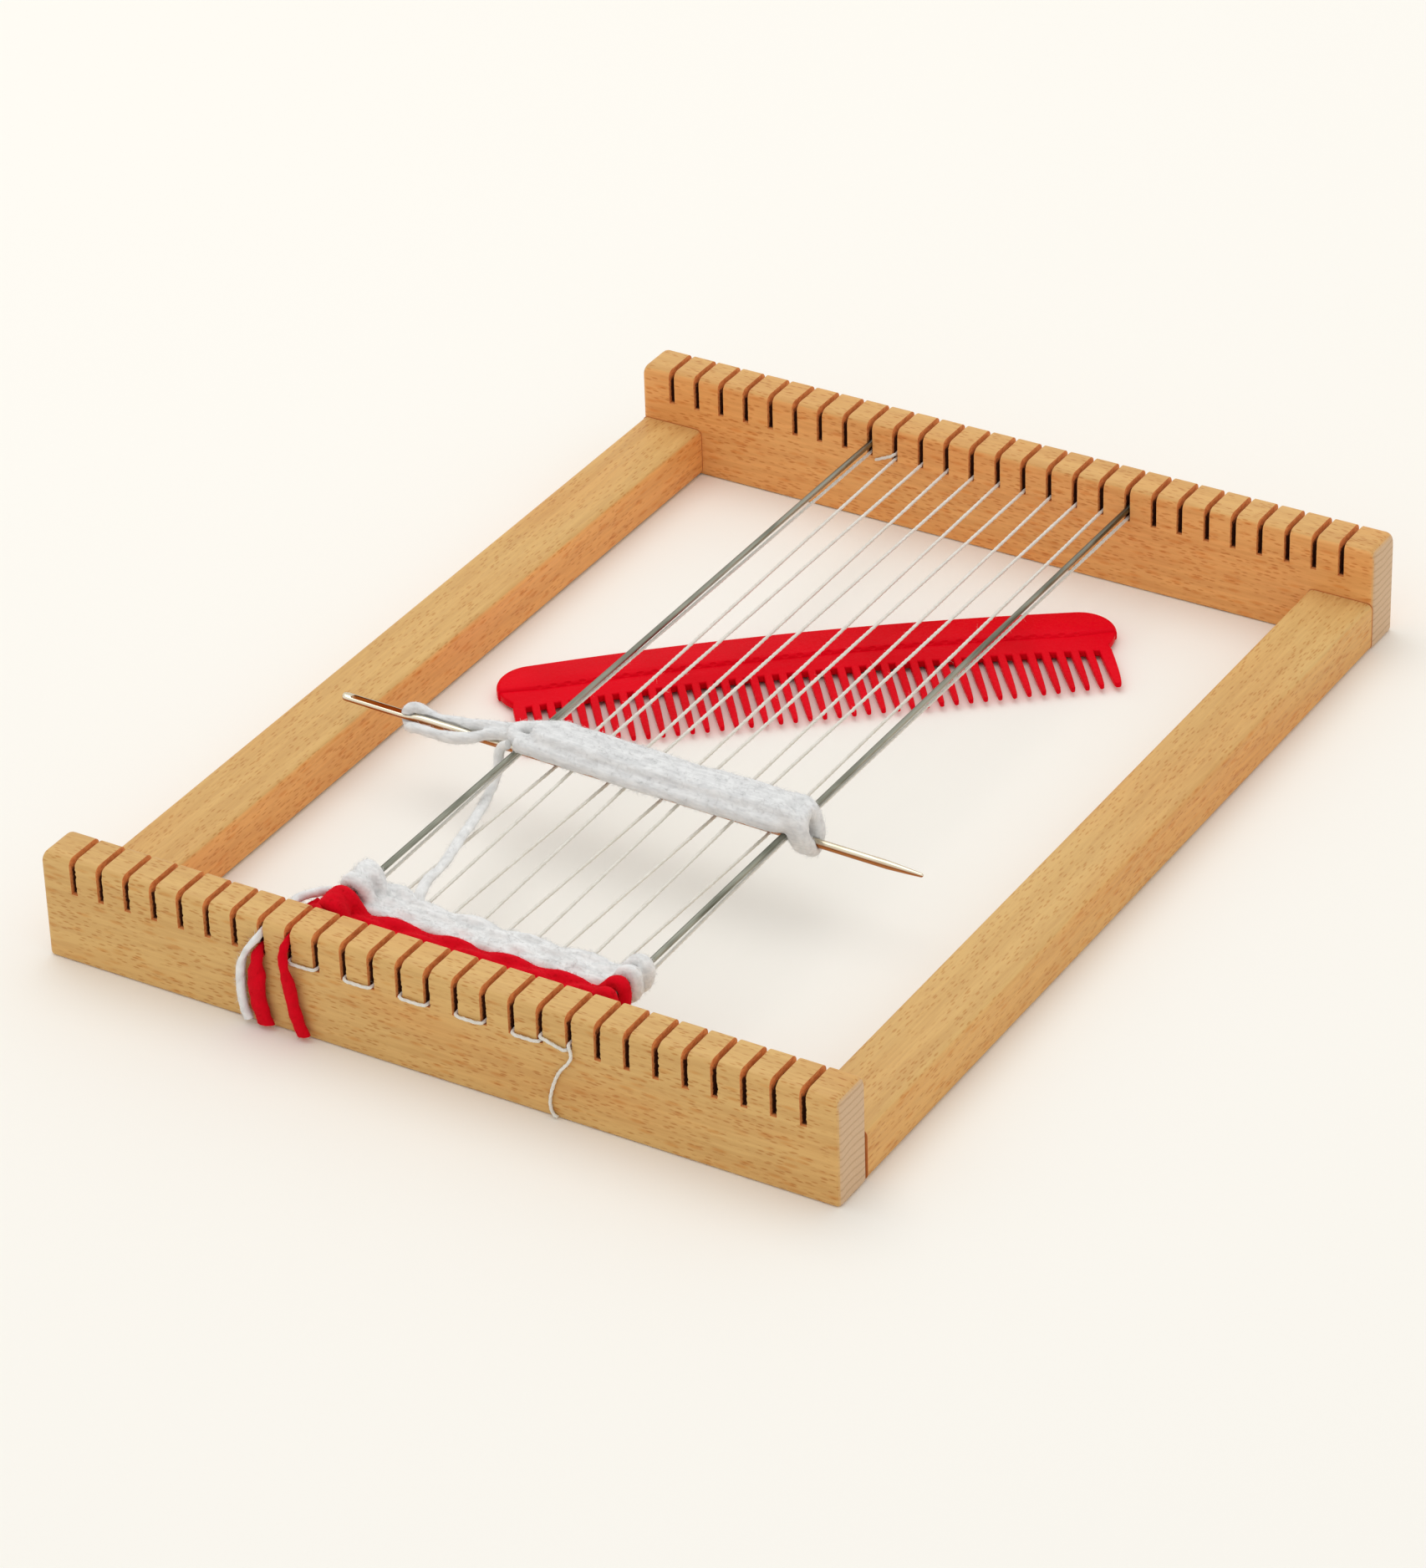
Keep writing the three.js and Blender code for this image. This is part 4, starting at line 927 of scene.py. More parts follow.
# The weft is soft wool, four rows of red and then four of white, and a short fifth one at the left. The
# yarn passes over and under the strands in turn and goes round a rod at each edge, where it heaps up.
# The rows have matted together, so each colour is one lump with holes for the strands and rods.
red_wool = fibre_material("red wool", (0.72, 0.002, 0.014, 1), (0.62, 0.002, 0.011, 1), 0.02, 2, 0.4)
white_wool = fibre_material("white wool", (0.90, 0.90, 0.885, 1), (0.74, 0.745, 0.735, 1), 0.3, 2, 0.35)
rod_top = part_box("left_selvedge_rod")[1].z
left_rod_x, right_rod_x = slot_x(first_slot), slot_x(last_slot)
yarn_gap = 0.2 * MM
rod_gap = 0.28 * MM
red_size, red_pitch, red_rows = 2.15 * MM, 2.6 * MM, 4
white_size, white_pitch, white_rows = 1.75 * MM, 2.2 * MM, 4
red_first = -inner_y + 1.15 * MM + red_size / 2
red_last = red_first + (red_rows - 1) * red_pitch
white_first = red_last + red_size / 2 + white_size / 2 + 0.45 * MM
white_last = white_first + (white_rows - 1) * white_pitch


def over_rod(sideways, size, heap):
    """The height of the yarn over a rod. It heaps up on the left one, where all the ends are."""
    return rod_top + rod_gap + (heap if sideways < 0 else 0.3 * size)


def weft_row(y, phase, size, heap, strands=strand_count):
    """One row from the left rod to the right one. phase 1 starts over the left rod."""
    steps, last = 4, (strand_count - 1) * 4
    lift = 0.35 * (warp_radius + yarn_gap + size / 2)
    points = []
    for k in range((strands - 1) * steps + 1):
        to_edge = min(k, last - k) / steps
        starts_over = phase * ((-1) ** (strand_count - 1) if k > last / 2 else 1) > 0
        z = strand_height + phase * lift * math.cos(math.pi * k / steps)
        if to_edge < 1 and starts_over:
            top = over_rod(1 if k > last / 2 else -1, size, heap)
            middle = (top + strand_height - lift) / 2
            wave = math.cos(math.pi * to_edge)
            z = middle + (top - middle) * math.copysign(math.sqrt(abs(wave)), wave)
        points.append((left_rod_x + k / steps * slot_pitch, y, z))
    return points


def edge_turn(sideways, start_y, end_y, size, heap, starts_over, halves=1):
    """The half turn round a rod from one row to the next, or so many half turns."""
    top = over_rod(sideways, size, heap)
    bottom = strand_height - 0.55 * (warp_radius + yarn_gap + size / 2)
    middle, radius = (top + bottom) / 2, (top - bottom) / 2
    x, reach = (left_rod_x, 2.2 * MM) if sideways < 0 else (right_rod_x, 1.45 * MM)
    points = []
    for k in range(1, 6 * halves):
        angle = math.pi * k / 6
        z = middle + (1 if starts_over else -1) * radius * math.cos(angle)
        y = start_y + (end_y - start_y) * k / (6 * halves)
        points.append((x + sideways * reach * math.sin(angle), y, z))
    return points


def weft_path(first, rows, pitch, size, heap):
    path = edge_turn(-1, first, first, size, heap, True)[2:]
    for row in range(rows):
        y, to_right = first + row * pitch, row % 2 == 0
        points = weft_row(y, -1 if to_right else 1, size, heap)
        path += points if to_right else points[::-1]
        if row < rows - 1:
            halves = 1 if to_right else 3
            path += edge_turn(1 if to_right else -1, y, y + pitch, size, heap, not to_right, halves)
    return path


def matted_tree():
    """Matted wool: the turns of a soft yarn run together, with holes left for what passes through them."""
    tree, given = open_tree(
        "matted wool", Radius="Float", Voxel="Float", Soften="Int", Lumps="Float", Holes="Object",
        Holes_cross="Bool", Fibre_density="Float", Fibre_length="Float", Fibre_radius="Float", Seed="Int",
        Yarn="Material",
    )
    line = stepped_line(tree, given, 0.6 * MM)
    uneven = ramp(tree, cloudy(tree, position(tree), (180, 260, 180)), 0.3, 0.7, 0.88, 1.12)
    tubes = tube_along(tree, line, circle_of(tree, 12, given["Radius"]), uneven)
    sockets = {"Mesh": tubes, "Density": 1.0, "Voxel Size": given["Voxel"], "Interior Band Width": 1.2 * MM}
    cloud = put(tree, "GeometryNodeMeshToVolume", sockets, resolution_mode="VOXEL_SIZE").outputs[0]
    sockets = {"Volume": cloud, "Voxel Size": given["Voxel"], "Threshold": 0.1}
    wool = put(tree, "GeometryNodeVolumeToMesh", sockets, resolution_mode="VOXEL_SIZE").outputs[0]
    rounded = put(tree, "GeometryNodeBlurAttribute", data_type="FLOAT_VECTOR")
    value = next(socket for socket in rounded.inputs if socket.enabled and socket.name == "Value")
    tree.links.new(position(tree), value)
    tree.links.new(given["Soften"], rounded.inputs["Iterations"])
    blurred = next(socket for socket in rounded.outputs if socket.enabled)
    wool = moved_to(tree, wool, Position=blurred)
    place = position(tree)
    broad = minus(tree, cloudy(tree, place, (260, 420, 420), 2), 0.5)
    small = minus(tree, cloudy(tree, place, (1300, 1900, 1900), 2), 0.5)
    wool = pushed_out(tree, wool, times(tree, plus(tree, broad, times(tree, small, 0.5)), given["Lumps"]))
    holes = put(tree, "GeometryNodeObjectInfo", {"Object": given["Holes"]}).outputs["Geometry"]
    wool = less(tree, wool, holes, **{"Self Intersection": given["Holes cross"]})
    close_tree(tree, with_fibres(tree, given, wool), given["Yarn"])
    return tree


def holes_for(ways):
    """The room for straight things in the wool: (start, end, radius), or half-width and half-height."""
    points, faces, sides = [], [], 16
    for start, end, *radii in ways:
        start, end = Vector(start), Vector(end)
        along = (end - start).normalized()
        across = along.cross(Vector((0, 0, 1))).normalized()
        upwards = across.cross(along)
        first = len(points)
        for spot in (start, end):
            for s in range(sides):
                angle = 2 * math.pi * s / sides
                sideways = across * radii[0] * math.cos(angle)
                points.append(spot + sideways + upwards * radii[-1] * math.sin(angle))
        faces.append(tuple(range(first, first + sides)))
        faces.append(tuple(reversed(range(first + sides, first + 2 * sides))))
        for s in range(sides):
            a, b = first + s, first + (s + 1) % sides
            faces.append((a, a + sides, b + sides, b))
    mesh = bpy.data.meshes.new("holes")
    mesh.from_pydata([tuple(spot) for spot in points], [], faces)
    return piece_of("holes", outward(mesh))


matted = matted_tree()


def mat(name, path, ways, values):
    """A matted piece of wool along a path, with holes along the given ways."""
    holes = holes_for(ways)
    piece = baked(grow(piece_of(name, line_mesh(path)), matted, dict(values, Holes=holes)))
    bpy.data.objects.remove(holes)
    return piece


def matted_wool(name, light, dark, sheen, way):
    """Loose wool fibre that runs along the rows, softly mottled and quite matt."""
    fibre, tree, shader = new_material(
        name, Roughness=1.0, Specular_IOR_Level=0.03, Sheen_Weight=sheen, Sheen_Roughness=0.7)
    place = object_place(tree)
    turned_place = put(tree, "ShaderNodeMapping", {"Vector": place, "Rotation": (0, 0, way)}).outputs[0]
    strands = cloudy(tree, turned_place, (230, 1500, 1500), 4)
    soft = cloudy(tree, turned_place, (240, 420, 420), 2)
    tone = plus(tree, times(tree, strands, 0.55), times(tree, soft, 0.45))
    coloured(tree, shader, mixed(tree, ramp(tree, tone, 0.38, 0.60), dark, light))
    roughened(tree, shader, ramp(tree, strands, 0.3, 0.7, 0.9, 1.0))
    raise_surface(tree, shader, strands, 0.12 * MM, 0.5)
    return fibre


matted_red = matted_wool("matted red wool", (0.72, 0.002, 0.014, 1), (0.64, 0.002, 0.011, 1), 0.02, 0)
matted_white = matted_wool("matted white wool", (0.88, 0.88, 0.87, 1), (0.72, 0.725, 0.72, 1), 0.12, 0)
through_band = [
    ((slot_x(slot), -outer_y, strand_height), (slot_x(slot), 0, strand_height), 0.46 * MM)
    for slot in range(first_slot, last_slot + 1)
]
rod_middle = rod_top - 0.7 * MM
rod_ways = [
    ((x, -outer_y - 0.01, rod_middle), (x, outer_y + 0.3, rod_middle), 0.8 * MM)
    for x in (left_rod_x, right_rod_x)
]

red_mat = {
    "Radius": 1.95 * MM, "Voxel": 0.32 * MM, "Soften": 8, "Lumps": 0.3 * MM, "Fibre density": 2e6,
    "Fibre length": 0.8 * MM, "Fibre radius": 0.04 * MM, "Seed": 7, "Yarn": matted_red, "Holes cross": False,
}
white_mat = dict(red_mat, **{
    "Radius": 1.85 * MM, "Lumps": 0.35 * MM, "Fibre length": 1.2 * MM, "Fibre density": 2.4e6, "Seed": 12,
    "Yarn": matted_white,
})

red_yarn = {
    "Radius": 1.45 * MM, "Strands": 2.0, "Twist": 9 * MM, "Furrow": 0.16, "Step": 0.4 * MM, "Sides": 16,
    "Lumps": 0.5, "Fibre density": 3e6, "Fibre length": 0.8 * MM, "Fibre radius": 0.028 * MM, "Seed": 7,
    "Yarn": red_wool,
}
white_yarn = dict(red_yarn, **{"Radius": 1.6 * MM, "Fibre length": 1.0 * MM, "Seed": 12, "Yarn": white_wool})

red_heap, white_heap = 1.6 * MM, 2.3 * MM
red_path = weft_path(red_first, red_rows, red_pitch, red_size, red_heap)
red_path += edge_turn(-1, red_last, red_last - 2.4 * MM, red_size, red_heap, True, 3)[:15]
red_weft = mat("red_weft_wool", smooth(red_path, 0), through_band + rod_ways, red_mat)
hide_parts("red_weft")
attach(red_weft, "frame")

short_y = white_last + 2.8 * MM
white_path = weft_path(white_first, white_rows, white_pitch, white_size, white_heap)
white_path += edge_turn(-1, white_last, short_y, white_size, white_heap, True, 3)
white_path += weft_row(short_y, -1, white_size, white_heap, 2)
white_path.append((slot_x(first_slot + 1) + 1.8 * MM, short_y - 1.0 * MM, strand_height + 1.0 * MM))
white_path.append((slot_x(first_slot + 1) + 5.0 * MM, short_y - 2.2 * MM, strand_height + 0.4 * MM))
white_weft = mat("white_weft_wool", smooth(white_path, 0), through_band + rod_ways, white_mat)
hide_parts("white_weft")
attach(white_weft, "frame")

# Three ends of the weft go out through the front rail's slots, squeezed thin in them, and hang down its
# face: the red yarn's two ends and the white yarn's first one.
mouth_y = -inner_y + 0.9 * MM
x = slot_x(first_slot)
red_start_route = (
    off(x, mouth_y, 0, (-3.6, 2.2, 22.3), (-1.5, 1.5, 23.5), (-0.1, 0.1, 23.8), (0, -1.6, 23.8))
    + off(x, -outer_y, 0, (0, 4, 23.7), (0, 0.6, 23.5), (0, -1.2, 22.6))
    + off(x, -outer_y, 0, (0.05, -2.1, 20.6), (0.3, -2.3, 17.6))
    + off(x, -outer_y, 0, (0.8, -1.8, 13.6), (1.7, -1.6, 7.1), (2.8, -1.6, 3.4), (3.6, -1.5, 1.3))
)
x = slot_x(first_slot - 1)
red_end_route = (
    off(x, red_last, 0, (1.9, -1.6, 20.6), (0.7, -4.6, 20.1))
    + off(x, mouth_y, 0, (0, 0.3, 19.8), (0, -2.4, 19.8))
    + off(x, -outer_y, 0, (0, 4, 19.8), (0, 0.9, 19.7), (0, -0.6, 19.4))
    + off(x, -outer_y, 0, (-0.1, -1.6, 18.2), (-0.2, -1.8, 16.4))
    + off(x, -outer_y, 0, (-0.5, -1.6, 13.6), (-0.8, -1.6, 9.8), (-0.2, -1.6, 5), (0.9, -1.5, 1.3))
)
white_start_route = (
    off(x, white_first, 0, (2.1, 0, 21.3))
    + off(x, red_last, 0, (0.2, -1.6, 22.2), (-1.1, -5.6, 22.7))
    + off(x, mouth_y, 0, (-0.4, 1.2, 23.2), (0, -0.4, 23.4), (0, -2.4, 23.4))
    + off(x, -outer_y, 0, (0, 4, 23.4), (0, 0.6, 23.2), (0, -0.6, 22.8))
    + off(x, -outer_y, 0, (-0.5, -1.4, 22.1), (-1.6, -1.7, 20.7))
    + off(x, -outer_y, 0, (-3, -1.6, 18.6), (-4.6, -1.5, 14.5), (-5.1, -1.4, 8.8))
    + off(x, -outer_y, 0, (-4.6, -1.4, 3.8), (-3.7, -1.3, 1.2))
)


def tail_squeeze(spread):
    """A tail is squeezed thin in its slot and spreads on the rail's outer face."""
    def pressed(spot):
        in_slot = min(1.0, max(0.0, (-inner_y + 2.4 * MM - spot.y) / (2 * MM)))
        outside = min(1.0, max(0.0, (-outer_y - 0.3 * MM - spot.y) / (0.9 * MM)))
        loose = 0.6 * spread + (0.4 * spread) * min(1.0, max(0.0, (17 * MM - spot.z) / (3 * MM)))
        narrow = 1 + (0.56 - 1) * in_slot
        return (narrow + (loose - narrow) * outside, 1, 1 + 0.15 * in_slot * (1 - outside))
    return pressed


for name, node, route, spread, yarn, slot_name in (
    ("red_start_wool", "red_start_tail", red_start_route, 1.75, red_yarn, "red_yarn"),
    ("red_end_wool", "red_end_tail", red_end_route, 2.3, red_yarn, "red_yarn"),
    ("white_start_wool", "white_start_tail", white_start_route, 1.15, white_yarn, "white_yarn"),
):
    path = smooth(route, 80)
    tail = spin(name, path, dict(yarn, Radius=1.0 * MM, Lumps=0.3, Furrow=0.08), tail_squeeze(spread))
    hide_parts(node)
    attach(tail, "frame")

# The needle is nickel-plated steel wire. Its head is hammered flat and pierced by one long eye, and its
# tip is a blunt cone. It lies in the shed, over and under every other strand.
nickel, tree, shader = new_material("nickel plate", Metallic=1.0)
place = object_place(tree)
polish = cloudy(tree, place, (60, 3000, 3000))
film = cloudy(tree, place, (70, 400, 400), 3)
# Painted reflections: faces turned to the rear are darker, and the lower front faces are copper, for the
# wooden rail mirrored in the needle.
aspect = split(tree, attribute(tree, "facing")["Vector"])
wood_reflection_share = plus(tree, times(tree, aspect["Z"], -0.8), times(tree, aspect["Y"], -0.6))
plate_and_reflection = mixed(tree, ramp(tree, film, 0.42, 0.66), (0.80, 0.75, 0.62, 1), (0.50, 0.43, 0.30, 1))
plate_and_reflection = mixed(tree, ramp(tree, aspect["Y"], 0.35, 0.75), plate_and_reflection, (0.22, 0.20, 0.14, 1))
coloured(tree, shader, mixed(tree, ramp(tree, wood_reflection_share, -0.05, 0.35), plate_and_reflection, (0.42, 0.155, 0.045, 1)))
roughened(tree, shader, ramp(tree, polish, 0.3, 0.7, 0.10, 0.22))
raise_surface(tree, shader, polish, 0.02 * MM, 0.12)

needle_length = 153.2 * MM
head_length = 22 * MM
head_radius = 1.4 * MM
head_half_thickness = 0.8 * MM
eye_start = 2.4 * MM
eye_length = 17 * MM
eye_width = 1.5 * MM
needle_place = Matrix.Translation((needle_eye_end.x, needle_eye_end.y, needle_height))
needle_place = needle_place @ Matrix.Rotation(needle_turn, 4, "Z")


def needle_section(along):
    """The needle's half-width and half-thickness at a place along it."""
    if along < head_radius:
        wide = head_radius * math.sqrt(max(0.0, 1 - (1 - along / head_radius) ** 2))
        return wide, min(wide, head_half_thickness)
    if along < head_length:
        neck = along - (eye_start + eye_length - 3 * MM)
        share = min(1.0, max(0.0, neck / (head_length - eye_start - eye_length + 3 * MM)))
        share = share * share * (3 - 2 * share)
        return (
            head_radius + (needle_radius - head_radius) * share,
            head_half_thickness + (needle_radius - head_half_thickness) * share,
        )
    to_tip = (needle_length - along) / (9 * MM)
    radius = needle_radius * min(1.0, 0.42 + 0.58 * max(0.0, to_tip) ** 0.8)
    blunt = 0.42 * needle_radius
    if needle_length - along < blunt:
        radius *= math.sqrt(max(0.0, 1 - (1 - (needle_length - along) / blunt) ** 2))
    return radius, radius


stations = [0.02, 0.1, 0.25, 0.5, 0.8, 1.1, 1.4, 2, 4, 8, 12, 16, 17, 18, 19, 20, 21, 22, 26]
stations += list(range(32, 145, 8))
stations += [144.2, 145.5, 147, 148.5, 150, 151.5, 152.3, 152.8, 152.95, 153.05, 153.13, 153.18]
rings = []
for along in stations:
    wide, thick = needle_section(along * MM)
    ring = []
    for s in range(40):
        angle = 2 * math.pi * s / 40
        ring.append((along * MM, wide * math.cos(angle), thick * math.sin(angle)))
    rings.append(ring)
mesh = outward(closed_tube(rings))
mesh.materials.append(nickel)
needle = piece_of("needle_steel", mesh)

eye_rings = []
for up, grown in ((-2, 0.75), (-0.85, 0.32), (-0.55, 0.04), (0, 0), (0.55, 0.04), (0.85, 0.32), (2, 0.75)):
    half, ring = eye_width / 2 + grown * MM, []
    for start, centre in ((90, eye_start + eye_width / 2), (-90, eye_start + eye_length - eye_width / 2)):
        for k in range(11):
            angle = math.radians(start + 18 * k)
            ring.append((centre + half * math.cos(angle), half * math.sin(angle), up * MM))
    eye_rings.append(ring)
eye_mesh = outward(closed_tube(eye_rings))
eye_mesh.materials.append(nickel)
eye_cutter = piece_of("eye_cutter", eye_mesh)
pierce = needle.modifiers.new("eye", "BOOLEAN")
pierce.object = eye_cutter
pierce.solver = "EXACT"
baked(needle, 35)
bpy.data.objects.remove(eye_cutter)
needle.data.transform(needle_place)
mark_facing(needle)
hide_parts("needle")
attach(needle, "needle")

# The supply of white wool lies to and fro along the needle, in two layers on top of the strands. Its
# last turns go down in front of the needle, under it and up behind, and hold the wool to it.
winding_size = 2.2 * MM
winding_pitch = 2.76 * MM
winding_sag = 0.4 * MM
winding_low = rod_top + yarn_gap + winding_size / 2
winding_left = left_rod_x - 0.2 * MM
winding_right = right_rod_x - 2.2 * MM
winding_offset = -1.3 * MM


def above_needle(x, sideways, z):
    return (x, needle_y(x) + winding_offset + sideways, z)


def winding_run(sideways, z, to_right, left=winding_left, right=winding_right):
    points = []
    for k in range(9):
        share = k / 8 if to_right else 1 - k / 8
        sag = winding_sag * math.sin(math.pi * share) ** 2
        points.append(above_needle(left + share * (right - left), sideways, z - sag))
    return points


def winding_turn(x, start, end, start_z, end_z, reach):
    steps = 6 if abs(reach) < winding_pitch else 8
    points = []
    for k in range(1, steps):
        angle = math.pi * k / steps
        share = (1 - math.cos(angle)) / 2
        sideways, z = start + (end - start) * share, start_z + (end_z - start_z) * share
        points.append(above_needle(x + reach * math.sin(angle), sideways, z))
    return points


def turns_under_needle(start, end, start_z, end_z):
    """The wool's last turns: down in front, under the needle, up behind, and once more round."""
    under, x = needle_height - needle_radius - yarn_gap - winding_size / 2, winding_right
    turns = (
        off(x, start, start_z, (2.6, -0.1, 0.1), (4.0, -0.6, -1.3), (4.3, -0.7, -4.2), (4.3, 0.6, -6.6))
        + off(x, start, under, (4.4, 3.0, 0.1), (4.6, 5.1, 1.4), (4.7, 6.1, 4.0))
        + off(x, start, start_z, (4.7, 5.3, -1.6), (4.8, 2.9, -0.6), (5.4, 0.5, -1.6))
        + off(x, start, start_z, (6.3, -0.5, -4.2), (6.6, 0.7, -6.5))
        + off(x, start, under, (6.6, 3.1, 0.3), (6.5, 5.3, 1.8), (6.0, 6.3, 4.4))
        + off(x, end, end_z, (4.4, 0, -0.7), (2.2, 0.1, 0))
    )
    return [above_needle(*spot) for spot in turns]


low_z, high_z = winding_low + 0.3 * MM, winding_low + 0.85 * winding_pitch
low_row = [share * winding_pitch for share in (-1.5, 1.1, -0.7, 0.2)]
high_row = [share * winding_pitch for share in (0.2, 1.0, -0.7)]
behind, behind_z = 1.8 * winding_pitch, low_z + 0.5 * winding_pitch
climb_x, wide_x = winding_left + 8.5 * MM, winding_right - 1 * MM
top_x = climb_x - 0.6 * winding_pitch
leaving = off(winding_left, behind, behind_z, (4.5, -0.9, -0.2), (1.2, -2.0, -0.6), (-0.4, -2.9, -0.9))
winding_leave = [above_needle(*spot) for spot in leaving]
winding_path = (
    winding_run(low_row[0], low_z, True, winding_left, wide_x)
    + winding_turn(wide_x, low_row[0], low_row[1], low_z, low_z, 1.5 * winding_pitch)
    + winding_run(low_row[1], low_z, False, winding_left, wide_x)
    + winding_turn(winding_left, low_row[1], low_row[2], low_z, low_z, -winding_pitch)
    + winding_run(low_row[2], low_z, True, winding_left, wide_x)
    + winding_turn(wide_x, low_row[2], low_row[3], low_z, low_z, 0.5 * winding_pitch)
    + winding_run(low_row[3], low_z, False, climb_x, wide_x)
    + winding_turn(climb_x, low_row[3], high_row[0], low_z, high_z, -0.5 * winding_pitch)
    + winding_run(high_row[0], high_z, True, climb_x, wide_x)
    + winding_turn(wide_x, high_row[0], high_row[1], high_z, high_z, 0.5 * winding_pitch)
    + winding_run(high_row[1], high_z, False, top_x, wide_x)
    + winding_turn(top_x, high_row[1], high_row[2], high_z, high_z, -winding_pitch)
    + winding_run(high_row[2], high_z, True, top_x)
    + turns_under_needle(high_row[2], behind, high_z, behind_z)
    + winding_run(behind, behind_z, False, climb_x)
    + winding_leave
)
wound_wool = matted_wool("wound wool", (0.84, 0.845, 0.84, 1), (0.70, 0.705, 0.705, 1), 0.1, -needle_turn)
whole_needle = (needle_place @ Vector((-0.03, 0, 0)), needle_place @ Vector((0.22, 0, 0)), 1.22 * MM)
winding = mat("winding_wool", smooth(winding_path, 0), rod_ways + [whole_needle], dict(
    white_mat, **{"Radius": 1.9 * MM, "Soften": 12, "Lumps": 0.35 * MM, "Seed": 21, "Yarn": wound_wool}))
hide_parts("yarn_winding")
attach(winding, "frame")


# The wool goes on from the winding through the needle's eye and back, one strand on each side of the
# flat head. It is loosely matted, with room left for the head to slide as far as its joint lets it.
def beside_needle(along, rearwards, above):
    return needle_place @ Vector((along, rearwards, above))


yarn_to_eye_end = 1.75 * MM
eye_at = eye_start + eye_length - yarn_to_eye_end
rear_strand = [
    (1, 0.8, 1.9), (2.3, 1.8, 1.3), (4, 2.3, 0.3), (7, 2.4, -0.3), (9.6, 2.65, 0), (12.5, 2.6, 0.6),
    (16.7, 1.8, 1.5), (20.6, 1.5, 2.8), (24, 1.9, 3.3), (27.5, 2.1, 3.9), (31, 2.3, 4.4), (34.5, 2.6, 4.6),
]
front_strand = [
    (1, -0.8, -1.9), (2.3, -1.9, -1.4), (4.2, -2.6, -0.8), (7, -2.9, -0.5), (10.7, -3.1, -0.4),
    (14.4, -3.1, 0.1), (18, -2.8, 0.9), (20.4, -2.1, 1.5), (22.2, -1.0, 2.1), (25, 0, 2.5),
    (28, 0.3, 2.8), (31, 0.2, 3.2), (34, 0.1, 3.4),
]
eye_route = [beside_needle(*spot) for spot in off(eye_at, 0, 0, *reversed(rear_strand))]
eye_route += [beside_needle(eye_at, 0, 0.9 * MM), beside_needle(eye_at, 0, -0.9 * MM)]
eye_route += [beside_needle(*spot) for spot in off(eye_at, 0, 0, *front_strand)]


def along_needle(start, end, *radii, beside=0.0):
    """The room that one straight stretch of the needle takes up in the wool."""
    return (beside_needle(start, beside, 0), beside_needle(end, beside, 0), *radii)


needle_ways = [
    along_needle(-0.03, eye_at + 15 * MM, 0.62 * MM, 0.94 * MM, beside=sideways * 1.1 * MM)
    for sideways in (-1, 1)
]
needle_ways.append(along_needle(eye_at + 1.65 * MM, eye_at + 17 * MM, 1.5 * MM, 1.12 * MM))
needle_ways.append(along_needle(eye_at + 16 * MM, 0.22, 1.16 * MM))
eye_mat = dict(white_mat, **{
    "Radius": 1.5 * MM, "Soften": 5, "Lumps": 0.3 * MM, "Fibre length": 0.8 * MM, "Seed": 31,
    "Yarn": wound_wool, "Holes cross": True,
})
eye_wool = mat("eye_wool", smooth(eye_route, 0), needle_ways, eye_mat)
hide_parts("eye_yarn")
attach(eye_wool, "frame")

# The white yarn leads from the band's short row to the winding. It lies flat over the strands, passes
# under the left rod and turns up outside it into the winding's lowest turn.
x, band_y = left_rod_x, white_last + white_pitch
winding_y = needle_y(x) + winding_offset - 1.75 * winding_pitch
over_strand = strand_height + warp_radius + yarn_gap + 1.1 * MM
under_strand = strand_height - warp_radius - yarn_gap - 1.1 * MM
lead_route = (
    off(x, band_y, over_strand, (12.2, 0, 0.1))
    + off(x, winding_y, over_strand, (10.4, -51.5, 0.1), (10.1, -45.5, 0), (9, -40, 0), (7.6, -34, 0))
    + off(x, winding_y, over_strand, (6.6, -29, -0.2), (5.3, -24.5, -0.7))
    + off(x, winding_y, under_strand, (2.8, -17.8, 1.2), (0.2, -11.4, -0.1), (-1.7, -5.6, 0))
    + off(x, winding_y, under_strand, (-3.1, -1.8, 1.6), (-3.6, -0.4, 4))
    + off(x, winding_y, winding_low, (-3.1, 0.2, -0.9), (-1.7, 0.4, -0.1))
)
path = smooth(lead_route, 110)
buried = path[0] + Vector((0.9, -1.4, -0.7)) * MM


def lead_squeeze(spot):
    """The lead lies nearly flat over the strands, and rounder where it turns up at its end."""
    flat = min(1.0, max(0.0, (winding_y - 3 * MM - spot.y) / (6 * MM)))
    return (1 + 0.15 * flat, 1, 1 - 0.35 * flat)


lead_yarn = dict(white_yarn, **{
    "Radius": 1.12 * MM, "Twist": 40 * MM, "Furrow": 0.05, "Lumps": 0.4, "Fibre length": 1.2 * MM,
    "Seed": 41,
})
lead = spin("lead_wool", [buried] + path, lead_yarn, lead_squeeze)
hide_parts("yarn_lead")
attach(lead, "frame")

